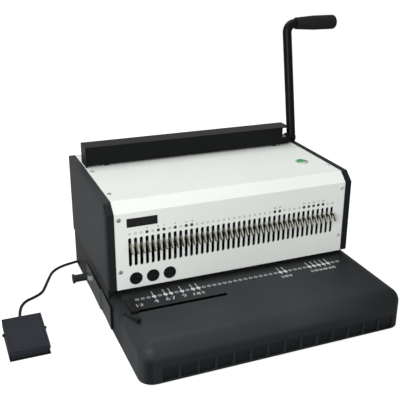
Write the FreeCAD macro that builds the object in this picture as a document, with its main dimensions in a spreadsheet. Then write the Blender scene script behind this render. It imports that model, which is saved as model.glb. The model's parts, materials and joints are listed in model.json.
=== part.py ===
import FreeCAD, Part
import math
import os
import re
import Sketcher

# Electric punching machine with a manual wire closer and a foot pedal, in millimetres.
# Frame: x = 0 on the centre plane, y = 0 on the front face of the white cover, z = 0 on the table.
# +X runs to the right, +Y to the rear, +Z up.

Vector = FreeCAD.Vector

SIZES = [
    # base tray
    ("base_margin", 9.9), ("base_width", "=shell_width + 2*base_margin"), ("base_overhang", 9.5),
    ("front_reach", 149.0), ("rear_reach", 238.0), ("base_low", 4.0), ("base_height", 61.8),
    ("plinth_rise", 5.0), ("plinth_height", "=base_height + plinth_rise"), ("plinth_front", 12.0),
    ("base_wall", 3.0), ("front_wall", 5.0), ("corner_radius", 20.5), ("edge_radius", 20.0),
    ("well_front", 1.2), ("well_gap", 0.5), ("well_half", "=frame_inner + frame_plate + well_gap"),
    ("rib_count", 15), ("rib_width", 3.4), ("rib_left", 26.0), ("rib_right", 16.7),
    ("rib_pitch", "=(base_width + base_overhang - rib_left - rib_right)/(rib_count - 1)"),
    ("rib_first", "=rib_left - base_width/2"), ("recess_depth", 3.0), ("recess_low", 5.6),
    ("recess_high", 31.0), ("track_y", -58.5), ("track_inset", 14.5),
    ("track_left", "=track_inset - base_width/2"), ("track_right", -40.0), ("track_width", 7.0),
    # floor and feet
    ("foot_height", 6.0), ("foot_radius", 12.0), ("foot_inset_x", 36.5), ("foot_inset_front", 37.0),
    ("foot_inset_rear", 30.0), ("floor_sheet", 2.0),
    # steel frames
    ("row_margin", 8.95), ("frame_inner", "=((slot_count - 1)*slot_pitch + slot_width)/2 + row_margin"),
    ("frame_plate", 8.0), ("frame_ease", 6.0), ("frame_rear", "=rear_reach - frame_ease"),
    ("window_rear", 150.0), ("window_top", 44.0), ("tie_radius", 6.0), ("tie_rise", 0.2),
    ("tie_z", "=base_height + tie_rise"),
    # white cover
    ("shell_gap", 2.1), ("shell_width", "=2*(frame_inner + frame_plate + shell_gap)"), ("sheet", 1.5),
    ("stop_thick", 4.6), ("shell_low", "=base_height + stop_thick"), ("cover_rise", 136.2),
    ("shell_top", "=base_height + cover_rise"), ("bend_height", 14.2), ("bend_depth", 16.0),
    ("shell_ease", 0.5), ("shell_rear", "=canopy_front - shell_ease"), ("slot_count", 40),
    ("slot_pitch", 8.466667), ("slot_width", 4.9), ("slot_rise", 35.0),
    ("slot_low", "=shell_low + slot_rise"), ("slot_height", 44.2),
    ("slot_high", "=slot_low + slot_height"), ("screw_inset", 6.1),
    ("screw_x", "=shell_width/2 - screw_inset"), ("screw_rise", 28.3),
    ("screw_low", "=shell_low + screw_rise"), ("screw_drop", 23.1),
    ("screw_high", "=shell_top - screw_drop"), ("screw_near", 45.0), ("screw_back", 19.0),
    ("screw_far", "=shell_rear - screw_back"), ("screw_radius", 1.6), ("screw_head", 3.1),
    ("screw_head_height", 1.6), ("screw_length", 9.0), ("fit_gap", 0.05),
    # side covers
    ("side_gap", 0.4), ("side_depth", 11.0), ("side_wall", 3.0), ("side_seat", 0.2),
    ("side_low", "=plinth_height + side_seat"), ("side_top", "=shell_top + side_gap"),
    ("side_front", -1.0), ("side_reach", 2.0), ("side_rear", "=rear_reach + side_reach"),
    ("side_round", 2.0),
    # punching set
    ("pin_y", 9.0), ("pin_size", 4.0), ("pin_lift", 7.2), ("pin_low", "=base_height + pin_lift"),
    ("pin_length", 78.0), ("pin_top", "=pin_low + pin_length"), ("set_front", 1.5), ("die_depth", 19.8),
    ("die_low", "=base_height - die_depth"), ("die_rear", 24.0), ("stop_y", 16.0),
    ("guide_thick", 17.6), ("guide_top", "=shell_low + guide_thick"), ("guide_rear", 53.0),
    ("stroke", 14.0), ("beam_front", 4.0), ("beam_rear", 22.0), ("beam_rise", 42.7),
    ("beam_low", "=guide_top + beam_rise"), ("beam_height", 22.0),
    ("beam_high", "=beam_low + beam_height"), ("beam_gap", 4.5),
    ("beam_half", "=frame_inner - beam_gap"), ("lug_width", 46.0), ("lug_shoulder", 12.0),
    ("lug_outer", "=post_x + lug_shoulder"), ("lug_inner", "=lug_outer - lug_width"),
    ("lug_rear", 66.0), ("post_inset", 30.5), ("post_x", "=frame_inner - post_inset"), ("post_y", 40.0),
    ("post_radius", 8.0), ("post_seat", 10.0), ("post_end", 1.3), ("post_top", "=beam_high + post_end"),
    ("running_gap", 0.06), ("spring_radius", 10.8), ("spring_wide", 2.4), ("spring_high", 1.8),
    ("spring_turns", 6), ("pull_rise", 7.8), ("pull_z", "=beam_low + pull_rise"), ("pull_thick", 2.6),
    ("pull_width", 3.2), ("pull_reach", 14.5), ("pull_bend", 8.0), ("pull_drop", 8.0),
    ("pull_bite", 2.4), ("pull_slack", 0.4), ("pull_slot", 3.2), ("left_pulls", 12),
    ("middle_pulls", 16), ("right_pulls", 12),
    # drive
    ("cam_y", 56.0), ("cam_gap", 0.3), ("cam_z", "=beam_high + cam_base + cam_gap"), ("cam_base", 13.0),
    ("cam_turn", 150.0), ("cam_shift", 6.0), ("cam_inner", "=lug_inner + cam_shift"),
    ("cam_width", 12.0), ("camshaft_radius", 9.0), ("bush_radius", 13.0), ("gear_module", 2.0),
    ("cam_teeth", 28), ("idler_teeth", 30), ("motor_teeth", 14), ("gear_inset", 14.5),
    ("gear_x", "=frame_inner - gear_inset"), ("gear_width", 8.0), ("gear_backlash", 0.25),
    ("idler_bore", 5.0), ("plate_inset", 26.5), ("plate_x", "=frame_inner - plate_inset"),
    ("plate_thick", 4.0), ("plate_front", 74.0), ("plate_rear", 154.0), ("plate_drop", 78.0),
    ("plate_low", "=cam_z - plate_drop"), ("plate_rise", 27.0), ("plate_high", "=cam_z + plate_rise"),
    ("pillar_radius", 4.0), ("pillar_inset", 8.0), ("gearbox_length", 22.0), ("gearbox_side", 56.0),
    ("motor_radius", 28.0), ("motor_length", 92.0), ("motor_shaft", 5.0),
    # wire closer
    ("closer_inset", 54.0), ("closer_y", "=rear_reach - closer_inset"), ("closer_rise", 9.0),
    ("closer_z", "=shell_top + closer_rise"), ("closer_shaft", 5.0), ("closer_module", 1.0),
    ("closer_teeth", 24), ("closer_backlash", 0.2), ("rack_inset", 26.5),
    ("rack_x", "=frame_inner - rack_inset"), ("rack_width", 8.0), ("rack_reach", 24.0),
    ("rack_front", "=closer_y - rack_reach"), ("rack_drop", 20.7),
    ("rack_low", "=closer_z - rack_drop"), ("jaw_offset", 19.5),
    ("jaw_front", "=closer_y + jaw_offset"), ("jaw_thick", 5.0), ("jaw_gap", 12.5),
    ("jaw_half", "=frame_inner - jaw_gap"), ("jaw_drop", 20.0), ("jaw_low", "=shell_top - jaw_drop"),
    ("jaw_rise", 8.0), ("jaw_high", "=shell_top + jaw_rise"), ("jaw_seat", 6.0),
    ("fixed_jaw_front", "=rear_reach - jaw_seat"), ("mouth_gap", 8.5),
    ("mouth_half", "=frame_inner - mouth_gap"), ("mouth_ease", 1.0),
    ("mouth_front", "=jaw_front - mouth_ease"), ("canopy_reach", 8.5),
    ("canopy_left", "=-frame_inner - canopy_reach"), ("canopy_gap", 1.5),
    ("canopy_right", "=frame_inner - canopy_gap"), ("window_width", 13.0),
    ("canopy_window", "=canopy_right - window_width"), ("canopy_overhang", 16.0),
    ("canopy_front", "=closer_y - canopy_overhang"), ("canopy_depth", 32.0),
    ("canopy_rear", "=canopy_front + canopy_depth"), ("canopy_lift", 3.0), ("canopy_foot", 0.4),
    ("window_rise", 12.0), ("canopy_low", "=shell_top + canopy_lift"), ("canopy_height", 30.0),
    ("canopy_high", "=canopy_low + canopy_height"), ("bracket_thick", 5.0), ("bracket_reach", 1.5),
    ("bracket_left", "=-frame_inner - bracket_reach"), ("bracket_inset", 20.0),
    ("bracket_right", "=frame_inner - bracket_inset"), ("bracket_height", 16.0),
    ("bracket_depth", 20.0), ("guide_bar_drop", 34.0), ("guide_bar_low", "=shell_top - guide_bar_drop"),
    ("guide_bar_reach", 18.0), ("guide_bar_front", "=closer_y - guide_bar_reach"),
    ("guide_bar_depth", 20.0), ("cheek", 1.6), ("slide_gap", 0.3),
    # handle
    ("hub_left", "=frame_inner"), ("hub_length", 16.5), ("hub_right", "=hub_left + hub_length"),
    ("hub_radius", 8.3), ("handle_offset", 11.5), ("handle_x", "=hub_left + handle_offset"),
    ("handle_radius", 7.8), ("handle_wall", 1.5), ("handle_height", 196.0), ("handle_bend", 15.0),
    ("handle_reach", 91.0), ("handle_lean", 10.5), ("grip_start", 17.0), ("grip_length", 79.0),
    ("grip_radius", 12.3), ("grip_neck", 10.0), ("grip_taper", 36.0),
    # rear
    ("inlet_inset", 56.5), ("inlet_x", "=frame_inner - inlet_inset"), ("inlet_rise", 31.2),
    ("inlet_z", "=plinth_height + inlet_rise"), ("inlet_width", 27.0), ("inlet_height", 20.0),
    ("inlet_depth", 22.0), ("inlet_flange", 2.5), ("inlet_wall", 1.5), ("board_inset", 26.5),
    ("board_left", "=board_inset - frame_inner"), ("board_width", 100.0), ("board_rise", 17.2),
    ("board_low", "=plinth_height + board_rise"), ("board_height", 66.0), ("board_depth", 17.0),
    ("board_y", "=rear_reach - board_depth"), ("board_thick", 1.6), ("gland_x", -95.0),
    ("gland_z", 18.0), ("gland_length", 20.0), ("gland_radius", 5.0), ("vent_count", 9),
    ("vent_pitch", 7.0), ("vent_width", 60.0), ("vent_height", 3.0),
    # switch, plates
    ("switch_inset", 28.5), ("switch_x", "=frame_inner - switch_inset"), ("switch_y", 74.0),
    ("switch_radius", 9.0), ("bezel_radius", 10.6), ("bezel_height", 1.6), ("switch_depth", 8.0),
    ("label_inset", 7.5), ("plate_left", "=label_inset - frame_inner"), ("plate_width", 45.0),
    ("label_drop", 35.6), ("plate_bottom", "=shell_top - label_drop"), ("plate_tall", 12.9),
    ("plaque_thick", 0.8), ("disc_inset", 18.7), ("disc_first", "=disc_inset - frame_inner"),
    ("disc_pitch", 25.6), ("disc_rise", 14.9), ("disc_z", "=shell_low + disc_rise"),
    ("disc_radius", 9.5),
    # chip drawer
    ("drawer_gap", 0.3), ("drawer_sheet", 1.5), ("drawer_front", 4.0), ("drawer_rear", 146.0),
    ("drawer_top", 39.0), ("drawer_inset", 4.5), ("drawer_end", "=frame_inner - drawer_inset"),
    ("face_inset", 1.0), ("face_thin", 1.8), ("face_thick", 3.9), ("face_front", -6.0),
    ("face_split", 53.0), ("face_step", 3.0), ("face_rear", 152.0), ("face_top", 44.0),
    ("knob_y", 142.0), ("knob_z", 22.5), ("knob_neck", 6.0), ("knob_length", 25.0), ("knob_seat", 1.2),
    ("knob_flange", 7.75), ("knob_flange_length", 3.0), ("catch_y", 111.0), ("catch_out", 1.5),
    ("catch_radius", 7.5), ("catch_low", 34.0), ("catch_top", 42.0),
    # edge stop
    ("stop_inset", 13.5), ("stop_left", "=stop_inset - base_width/2"), ("stop_width", 10.0),
    ("stop_near", -64.0), ("stop_far", -20.0), ("stop_height", 3.9), ("stop_gap", 0.3),
    ("tongue_length", 6.0), ("tongue_depth", 5.0), ("lever_inset", 15.5),
    ("lever_x", "=lever_inset - base_width/2"), ("lever_y", -86.0), ("lever_length", 28.0),
    ("lever_width", 3.0), ("lever_angle", 116.5), ("lever_peg", 3.2), ("lever_height", 2.4),
    ("lever_pivot", 2.0),
    # foot pedal
    ("pedal_x", -316.75), ("pedal_width", 55.5), ("pedal_front", -22.0), ("pedal_rear", 52.0),
    ("pedal_mat", 1.5), ("pedal_box_top", 9.0), ("pedal_inset", 3.0), ("pedal_wall", 2.0),
    ("tread_front_z", 15.0), ("tread_rear_z", 25.0), ("tread_skirt", 8.5), ("hinge_y", 27.0),
    ("hinge_z", 13.5), ("hinge_radius", 2.0), ("hinge_overhang", 3.0), ("ear_width", 3.0),
    ("ear_depth", 10.0), ("cord_radius", 2.25), ("coil_x", -55.0), ("coil_y", 298.0),
    ("coil_inner", 15.8), ("coil_outer", 34.2), ("coil_height", 9.1),
]

doc = FreeCAD.newDocument("punching_machine")
sheet = doc.addObject("Spreadsheet::Sheet", "sizes")
for row, (alias, value) in enumerate(SIZES, start=1):
    sheet.set("A%d" % row, alias)
    sheet.set("B%d" % row, str(value))
    sheet.setAlias("B%d" % row, alias)
doc.recompute()

ALIASES = {alias for alias, value in SIZES}
WORDS = re.compile(r"[A-Za-z_]+[A-Za-z_0-9]*")
NODES = []


def bound(text):
    """An expression on sheet aliases, written as FreeCAD wants it."""
    def prefix(match):
        word = match.group(0)
        return "sizes." + word if word in ALIASES else word
    return WORDS.sub(prefix, str(text))


def val(alias):
    """The number held by one cell of the sheet."""
    return float(sheet.get(alias))


def bind(obj, **expressions):
    for name, text in expressions.items():
        obj.setExpression(name.replace("__", "."), bound(text))
    return obj


def place(obj, x, y, z):
    """Bind the three coordinates of an object's Placement."""
    for axis, text in zip("xyz", (x, y, z)):
        obj.setExpression("Placement.Base." + axis, bound(text))
    return obj


def keep(obj, label):
    """Mark an object as a sub-part: its Label is its file's name."""
    obj.Label = label
    NODES.append(obj)
    return obj


def box(name, x, y, z, length, width, height):
    solid = doc.addObject("Part::Box", name)
    bind(solid, Length=length, Width=width, Height=height)
    return place(solid, x, y, z)


AXIS_TURNS = {
    "x": FreeCAD.Rotation(Vector(0, 1, 0), 90),
    "y": FreeCAD.Rotation(Vector(1, 0, 0), -90),
    "z": FreeCAD.Rotation(),
}


def cylinder(name, axis, x, y, z, radius, height):
    """A cylinder that starts at x, y, z and runs along the axis."""
    solid = doc.addObject("Part::Cylinder", name)
    bind(solid, Radius=radius, Height=height)
    solid.Placement.Rotation = AXIS_TURNS[axis]
    return place(solid, x, y, z)


def cone(name, axis, x, y, z, radius, end_radius, height):
    solid = doc.addObject("Part::Cone", name)
    bind(solid, Radius1=radius, Radius2=end_radius, Height=height)
    solid.Placement.Rotation = AXIS_TURNS[axis]
    return place(solid, x, y, z)


def fuse(name, *parts):
    union = doc.addObject("Part::MultiFuse", name)
    union.Shapes = list(parts)
    return union


def group(name, *parts):
    """Separate solids that share one node."""
    compound = doc.addObject("Part::Compound", name)
    compound.Links = list(parts)
    return compound


def cut(name, base, *tools):
    difference = doc.addObject("Part::Cut", name)
    difference.Base = base
    difference.Tool = tools[0] if len(tools) == 1 else fuse(name + "_tools", *tools)
    return difference


def mirror_x(name, source):
    """The source mirrored in the centre plane."""
    mirrored = doc.addObject("Part::Mirroring", name)
    mirrored.Source = source
    mirrored.Normal = Vector(1, 0, 0)
    return mirrored


def both_sides(name, solid):
    return group(name, solid, mirror_x(name + "_left", solid))


# ---- PartDesign helpers ------------------------------------------------------------------------

def new_body(name):
    return doc.addObject("PartDesign::Body", name)


def origin_item(body, role):
    return next(item for item in body.Origin.OriginFeatures if item.Role == role)


def sketch_on(body, name, plane, offset):
    """A sketch on one of the body's origin planes, moved along the plane's normal."""
    sketch = body.newObject("Sketcher::SketchObject", name)
    sketch.AttachmentSupport = [(origin_item(body, plane), "")]
    sketch.MapMode = "FlatFace"
    sketch.setExpression("AttachmentOffset.Base.z", bound(offset))
    return sketch


def fix_point(sketch, geometry, point, across, up):
    """Two driving distances from the sketch's origin hold a point."""
    for kind, text in (("DistanceX", across), ("DistanceY", up)):
        index = sketch.addConstraint(Sketcher.Constraint(kind, -1, 1, geometry, point, 1.0))
        sketch.setExpression("Constraints[%d]" % index, bound(text))


def polygon(body, name, plane, offset, points):
    """A closed outline whose corners are bound to the sheet."""
    sketch = sketch_on(body, name, plane, offset)
    count = len(points)
    start = [Vector(10 * math.cos(2 * math.pi * i / count), 10 * math.sin(2 * math.pi * i / count), 0)
             for i in range(count)]
    for i in range(count):
        sketch.addGeometry(Part.LineSegment(start[i], start[(i + 1) % count]), False)
    for i in range(count):
        sketch.addConstraint(Sketcher.Constraint("Coincident", i, 2, (i + 1) % count, 1))
    for i, (across, up) in enumerate(points):
        fix_point(sketch, i, 1, across, up)
    return sketch


def rectangle(body, name, plane, offset, left, right, low, high):
    corners = [(left, low), (right, low), (right, high), (left, high)]
    return polygon(body, name, plane, offset, corners)


def circle(body, name, plane, offset, across, up, radius):
    sketch = sketch_on(body, name, plane, offset)
    sketch.addGeometry(Part.Circle(Vector(1, 1, 0), Vector(0, 0, 1), 1.0), False)
    fix_point(sketch, 0, 3, across, up)
    index = sketch.addConstraint(Sketcher.Constraint("Radius", 0, 1.0))
    sketch.setExpression("Constraints[%d]" % index, bound(radius))
    return sketch


def pad(body, sketch, length, backwards=False):
    feature = body.newObject("PartDesign::Pad", sketch.Name + "_pad")
    feature.Profile = sketch
    feature.Reversed = backwards
    bind(feature, Length=length)
    body.Tip = feature
    doc.recompute()
    return feature


def pocket(body, sketch, length, forwards=False):
    """Cut away a sketch; it runs against the plane's normal unless forwards is set."""
    before = body.Shape.Volume
    feature = body.newObject("PartDesign::Pocket", sketch.Name + "_pocket")
    feature.Profile = sketch
    feature.Reversed = forwards
    bind(feature, Length=length)
    body.Tip = feature
    doc.recompute()
    if body.Shape.Volume >= before - 1e-3:
        raise RuntimeError(sketch.Name + " cuts nothing")
    return feature


def repeat(body, features, axis, length, count):
    """A row of copies along one of the body's axes."""
    pattern = body.newObject("PartDesign::LinearPattern", features[0].Name + "_row")
    pattern.Originals = features
    pattern.Direction = (origin_item(body, axis), [""])
    bind(pattern, Length=length, Occurrences=count)
    body.Tip = pattern
    doc.recompute()
    return pattern


def soften(body, name, radius, picks):
    """Round the edges of the body's tip that a test picks."""
    tip = body.Tip
    edges = ["Edge%d" % i for i, edge in enumerate(tip.Shape.Edges, start=1) if picks(edge)]
    feature = body.newObject("PartDesign::Fillet", name)
    feature.Base = (tip, edges)
    bind(feature, Radius=radius)
    body.Tip = feature
    doc.recompute()
    return feature


def runs_along(edge, axis):
    """True for a straight edge parallel to an axis."""
    if edge.Curve.TypeId != "Part::GeomLine":
        return False
    return abs(abs(edge.Curve.Direction.dot(axis)) - 1) < 1e-6


def upright_slot(body, name, plane, offset, centre, start_x):
    """One pin slot: two upright lines and two half circles, drawn at its place, then bound."""
    sketch = sketch_on(body, name, plane, offset)
    radius = val("slot_width") / 2
    low = val("slot_low") + radius
    high = val("slot_high") - radius
    left = start_x - radius
    right = start_x + radius
    normal = Vector(0, 0, 1)
    top = Part.Circle(Vector(start_x, high, 0), normal, radius)
    bottom = Part.Circle(Vector(start_x, low, 0), normal, radius)
    sketch.addGeometry([
        Part.ArcOfCircle(top, 0, math.pi),
        Part.LineSegment(Vector(left, high, 0), Vector(left, low, 0)),
        Part.ArcOfCircle(bottom, math.pi, 2 * math.pi),
        Part.LineSegment(Vector(right, low, 0), Vector(right, high, 0))], False)
    sketch.addConstraint([Sketcher.Constraint("Tangent", i, 2, (i + 1) % 4, 1) for i in range(4)])
    sketch.addConstraint(Sketcher.Constraint("Vertical", 1))
    for kind, geometry, value, text in (("DistanceX", 0, start_x, centre),
                                        ("DistanceY", 0, high, "slot_high - slot_width/2"),
                                        ("DistanceY", 2, low, "slot_low + slot_width/2")):
        index = sketch.addConstraint(Sketcher.Constraint(kind, -1, 1, geometry, 3, value))
        sketch.setExpression("Constraints[%d]" % index, bound(text))
    index = sketch.addConstraint(Sketcher.Constraint("Radius", 0, radius))
    sketch.setExpression("Constraints[%d]" % index, bound("slot_width/2"))
    return sketch


X, Y, Z = Vector(1, 0, 0), Vector(0, 1, 0), Vector(0, 0, 1)

# ---- base tray ---------------------------------------------------------------------------------
# The tray is hollow, and its top is rounded along the front, the left and the right. A box of plain
# walls stands on its rear half and carries the covers; on the right the tray reaches past it. Both
# are moulded in one piece.


def front_corner(shape_edge):
    """An upright edge in front of the cover."""
    return runs_along(shape_edge, Z) and shape_edge.CenterOfMass.y < 0


def tray_block(name, inset, front_inset, top, corner, edge):
    """A block with rounded front corners and a rounded rim, with a flat rear face."""
    body = new_body(name)
    half = "base_width/2 - (%s)" % inset
    outline = rectangle(body, name + "_outline", "XY_Plane", "base_low - (%s)" % inset,
                        "-(%s)" % half, "%s + base_overhang" % half,
                        "-front_reach + (%s)" % front_inset, "rear_reach - (%s)" % inset)
    pad(body, outline, "%s - base_low + (%s)" % (top, inset))
    soften(body, name + "_corners", corner, front_corner)
    high = body.Shape.BoundBox.ZMax
    rear = body.Shape.BoundBox.YMax

    def rim(shape_edge):
        centre = shape_edge.CenterOfMass
        return abs(centre.z - high) < 1e-6 and centre.y < rear - 1e-6

    soften(body, name + "_rim", edge, rim)
    return body


tray = tray_block("tray_outer", "0", "0", "base_height", "corner_radius", "edge_radius")
recess_length = "rib_pitch - rib_width"
recess = polygon(tray, "recess", "YZ_Plane", "rib_first + rib_width/2",
                 [("-front_reach - 1", "recess_low"), ("-front_reach + recess_depth", "recess_low"),
                  ("-front_reach", "recess_high"), ("-front_reach - 1", "recess_high")])
recess_cut = pocket(tray, recess, recess_length, forwards=True)
repeat(tray, [recess_cut], "X_Axis", "(rib_count - 2)*rib_pitch", "rib_count - 1")
tray_inner = tray_block("tray_inner", "base_wall", "front_wall", "base_height - base_wall",
                        "corner_radius - base_wall", "edge_radius - base_wall")
plinth = box("plinth", "-base_width/2", "plinth_front", "base_low", "base_width",
             "rear_reach - plinth_front", "plinth_height - base_low")
plinth_inner = box("plinth_inner", "-base_width/2 + base_wall", "plinth_front + base_wall",
                   "base_low - 1", "base_width - 2*base_wall",
                   "rear_reach - plinth_front - 2*base_wall", "plinth_height - base_low + 2")
well = box("well", "-well_half", "well_front", "base_low - 1", "2*well_half",
           "plinth_front + base_wall - well_front + 1", "plinth_height - base_low + 2")
track = box("track", "track_left", "track_y - track_width/2", "base_height - 2*base_wall",
            "track_right - track_left", "track_width", "3*base_wall")
drawer_gate = box("drawer_gate", "-base_width/2 - 1", "face_front - drawer_gap",
                  "foot_height + floor_sheet", "base_wall + 2",
                  "face_rear - face_front + 2*drawer_gap",
                  "face_top + drawer_gap - foot_height - floor_sheet")
lever_hole = cylinder("lever_hole", "z", "lever_x", "lever_y", "base_height - 3*base_wall",
                      "lever_pivot + running_gap", "4*base_wall")
gland_hole = cylinder("gland_hole", "y", "gland_x", "rear_reach - base_wall - 1", "gland_z",
                      "gland_radius", "base_wall + 2")
keep(cut("base_tray_cut", fuse("base_tray_outer", tray, plinth), tray_inner, plinth_inner, well,
         track, drawer_gate, lever_hole, gland_hole), "base_tray")

# ---- floor plate and feet ----------------------------------------------------------------------

floor_body = new_body("floor_body")
floor_outline = rectangle(floor_body, "floor_outline", "XY_Plane", "foot_height",
                          "-base_width/2 + base_wall", "base_width/2 + base_overhang - base_wall",
                          "-front_reach + front_wall", "rear_reach - base_wall")
pad(floor_body, floor_outline, "floor_sheet")
soften(floor_body, "floor_corners", "corner_radius - base_wall", front_corner)
keep(floor_body, "floor_plate")


def rubber_foot(name, y):
    rim = cone(name + "_rim", "z", "base_width/2 - foot_inset_x", y, "0", "foot_radius - 1.5",
               "foot_radius", "foot_height")
    return rim


keep(group("feet", both_sides("front_feet", rubber_foot("front_foot", "-front_reach + foot_inset_front")),
           both_sides("rear_feet", rubber_foot("rear_foot", "rear_reach - foot_inset_rear"))),
     "rubber_feet")

# ---- steel frames ------------------------------------------------------------------------------
# Each frame is a C-shaped plate. Its leg stands on the floor plate behind the chip drawer, and its
# arm reaches forward over the drawer to carry the punching set.

frame_body = new_body("frame_body")
frame_floor = "foot_height + floor_sheet"
frame_roof = "shell_top - sheet"
frame_outline = polygon(frame_body, "frame_outline", "YZ_Plane", "frame_inner", [
    ("window_rear", frame_floor), ("frame_rear", frame_floor), ("frame_rear", frame_roof),
    ("bend_depth + 6", frame_roof), ("set_front", "shell_top - bend_height - 3.5"),
    ("set_front", "window_top"), ("window_rear", "window_top")])
pad(frame_body, frame_outline, "frame_plate")
bush_seat = circle(frame_body, "bush_seat", "YZ_Plane", "frame_inner + frame_plate + 1", "cam_y",
                   "cam_z", "bush_radius")
pocket(frame_body, bush_seat, "frame_plate + 2")
idler_seat = circle(frame_body, "idler_seat", "YZ_Plane", "frame_inner + frame_plate + 1",
                    "cam_y + gear_module*(cam_teeth + idler_teeth)/2", "cam_z", "idler_bore")
pocket(frame_body, idler_seat, "frame_plate + 2")


def screw_hole(name, axis, y, z):
    return cylinder(name, axis, "screw_x", y, z, "screw_radius + fit_gap", "screw_length + 1")


front_holes = [screw_hole("front_hole_%d" % i, "y", "-1", height)
               for i, height in enumerate(("screw_low", "screw_high"))]
top_holes = [screw_hole("top_hole_%d" % i, "z", depth, "shell_top - screw_length")
             for i, depth in enumerate(("screw_near", "screw_far"))]
right_frame = keep(cut("frame_cut", frame_body, *front_holes, *top_holes), "right_frame")
keep(mirror_x("frame_mirror", right_frame), "left_frame")

tie_length = "2*frame_inner"
keep(group("ties",
           cylinder("tie_front", "x", "-frame_inner", "window_rear - 20", "tie_z", "tie_radius", tie_length),
           cylinder("tie_rear", "x", "-frame_inner", "frame_rear - 20", "tie_z", "tie_radius", tie_length)),
     "tie_bars")

# ---- white front cover -------------------------------------------------------------------------

cover = new_body("cover_body")
slope = math.atan2(val("bend_height"), val("bend_depth"))
cover_outline = polygon(cover, "cover_outline", "YZ_Plane", "-shell_width/2", [
    ("0", "shell_low"), ("sheet", "shell_low"),
    ("sheet", "shell_top - bend_height - sheet*(1 - cos(atan(bend_height/bend_depth)))"
              "/cos(atan(bend_height/bend_depth)) * 0.9"),
    ("bend_depth + sheet*tan(atan(bend_height/bend_depth)/2)", "shell_top - sheet"),
    ("shell_rear", "shell_top - sheet"), ("shell_rear", "shell_top"),
    ("bend_depth", "shell_top"), ("0", "shell_top - bend_height")])
pad(cover, cover_outline, "shell_width")
first_slot_x = -(val("slot_count") - 1) * val("slot_pitch") / 2
pin_slot = upright_slot(cover, "pin_slot", "XZ_Plane", "1", "-(slot_count - 1)*slot_pitch/2",
                        first_slot_x)
slot_cut = pocket(cover, pin_slot, "sheet + 2")
repeat(cover, [slot_cut], "X_Axis", "(slot_count - 1)*slot_pitch", "slot_count")
switch_hole = circle(cover, "switch_hole", "XY_Plane", "shell_top + 1", "switch_x", "switch_y",
                     "switch_radius + fit_gap")
pocket(cover, switch_hole, "sheet + 2")
for i, height in enumerate(("screw_low", "screw_high")):
    for side in (-1, 1):
        hole = circle(cover, "front_screw_%d_%d" % (i, side + 1), "XZ_Plane", "1",
                      "%d*screw_x" % side, height, "screw_radius + fit_gap")
        pocket(cover, hole, "sheet + 2")
for i, depth in enumerate(("screw_near", "screw_far")):
    for side in (-1, 1):
        hole = circle(cover, "top_screw_%d_%d" % (i, side + 1), "XY_Plane", "shell_top + 1",
                      "%d*screw_x" % side, depth, "screw_radius + fit_gap")
        pocket(cover, hole, "sheet + 2")
keep(cover, "front_cover")


def cover_screw(name, axis, y, z, head_y, head_z):
    shank = cylinder(name + "_shank", axis, "screw_x", y, z, "screw_radius", "screw_length")
    head = cylinder(name + "_head", axis, "screw_x", head_y, head_z, "screw_head", "screw_head_height")
    return both_sides(name, fuse(name + "_right", shank, head))


keep(group("screws",
           cover_screw("low_screw", "y", "0", "screw_low", "-screw_head_height", "screw_low"),
           cover_screw("high_screw", "y", "0", "screw_high", "-screw_head_height", "screw_high"),
           cover_screw("near_screw", "z", "screw_near", "shell_top - screw_length", "screw_near",
                       "shell_top"),
           cover_screw("far_screw", "z", "screw_far", "shell_top - screw_length", "screw_far",
                       "shell_top")), "cover_screws")

# ---- side covers -------------------------------------------------------------------------------

side_inner_x = "shell_width/2 + side_gap"


def side_outline(body, name, offset, inset):
    """The cover's outline, stepped in all round by the inset."""
    return polygon(body, name, "YZ_Plane", offset, [
        ("side_front + (%s)" % inset, "side_low + (%s)" % inset),
        ("side_rear - (%s)" % inset, "side_low + (%s)" % inset),
        ("side_rear - (%s)" % inset, "side_top - (%s)" % inset),
        ("side_front + bend_depth + 0.4*(%s)" % inset, "side_top - (%s)" % inset),
        ("side_front + (%s)" % inset, "side_top - bend_height - 0.4*(%s)" % inset)])


side = new_body("side_body")
pad(side, side_outline(side, "side_outline", side_inner_x, "0"), "side_depth")
outer_x = val("shell_width") / 2 + val("side_gap") + val("side_depth")
soften(side, "side_rounding", "side_round", lambda edge: abs(edge.CenterOfMass.x - outer_x) < 1e-6)
hollow = side_outline(side, "side_hollow", side_inner_x, "side_wall")
pocket(side, hollow, "side_depth - side_wall", forwards=True)
keep(side, "right_side_cover")
keep(mirror_x("side_mirror", side), "left_side_cover")

# ---- rear cover, rear deck, inlet and control board --------------------------------------------

rear = new_body("rear_body")
rear_sheet = rectangle(rear, "rear_sheet", "XZ_Plane", "-rear_reach", "-shell_width/2", "shell_width/2",
                       "plinth_height", "shell_top")
pad(rear, rear_sheet, "sheet")
inlet_hole = rectangle(rear, "inlet_hole", "XZ_Plane", "-rear_reach - 1",
                       "inlet_x - inlet_width/2", "inlet_x + inlet_width/2",
                       "inlet_z - inlet_height/2", "inlet_z + inlet_height/2")
pocket(rear, inlet_hole, "sheet + 2", forwards=True)
vent = rectangle(rear, "vent", "XZ_Plane", "-rear_reach - 1", "-vent_width/2", "vent_width/2",
                 "board_low", "board_low + vent_height")
vent_cut = pocket(rear, vent, "sheet + 2", forwards=True)
repeat(rear, [vent_cut], "Z_Axis", "(vent_count - 1)*vent_pitch", "vent_count")
keep(rear, "rear_cover")

deck = box("deck_sheet", "-shell_width/2", "shell_rear", "shell_top - sheet", "shell_width",
           "rear_reach - sheet - shell_rear", "sheet")
mouth = box("mouth", "-mouth_half", "mouth_front", "shell_top - sheet - 1", "2*mouth_half",
            "rear_reach - mouth_front + 1", "sheet + 2")
pinion_reach = "closer_module*(closer_teeth/2 + 1) + 1"
pinion_slot = box("pinion_slot", "rack_x - rack_width/2 - 1", "closer_y - (%s)" % pinion_reach,
                  "shell_top - sheet - 1", "rack_width + 2", "2*(%s)" % pinion_reach, "sheet + 2")
keep(cut("deck_cut", deck, mouth, pinion_slot, mirror_x("pinion_slot_left", pinion_slot)), "rear_deck")

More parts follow.
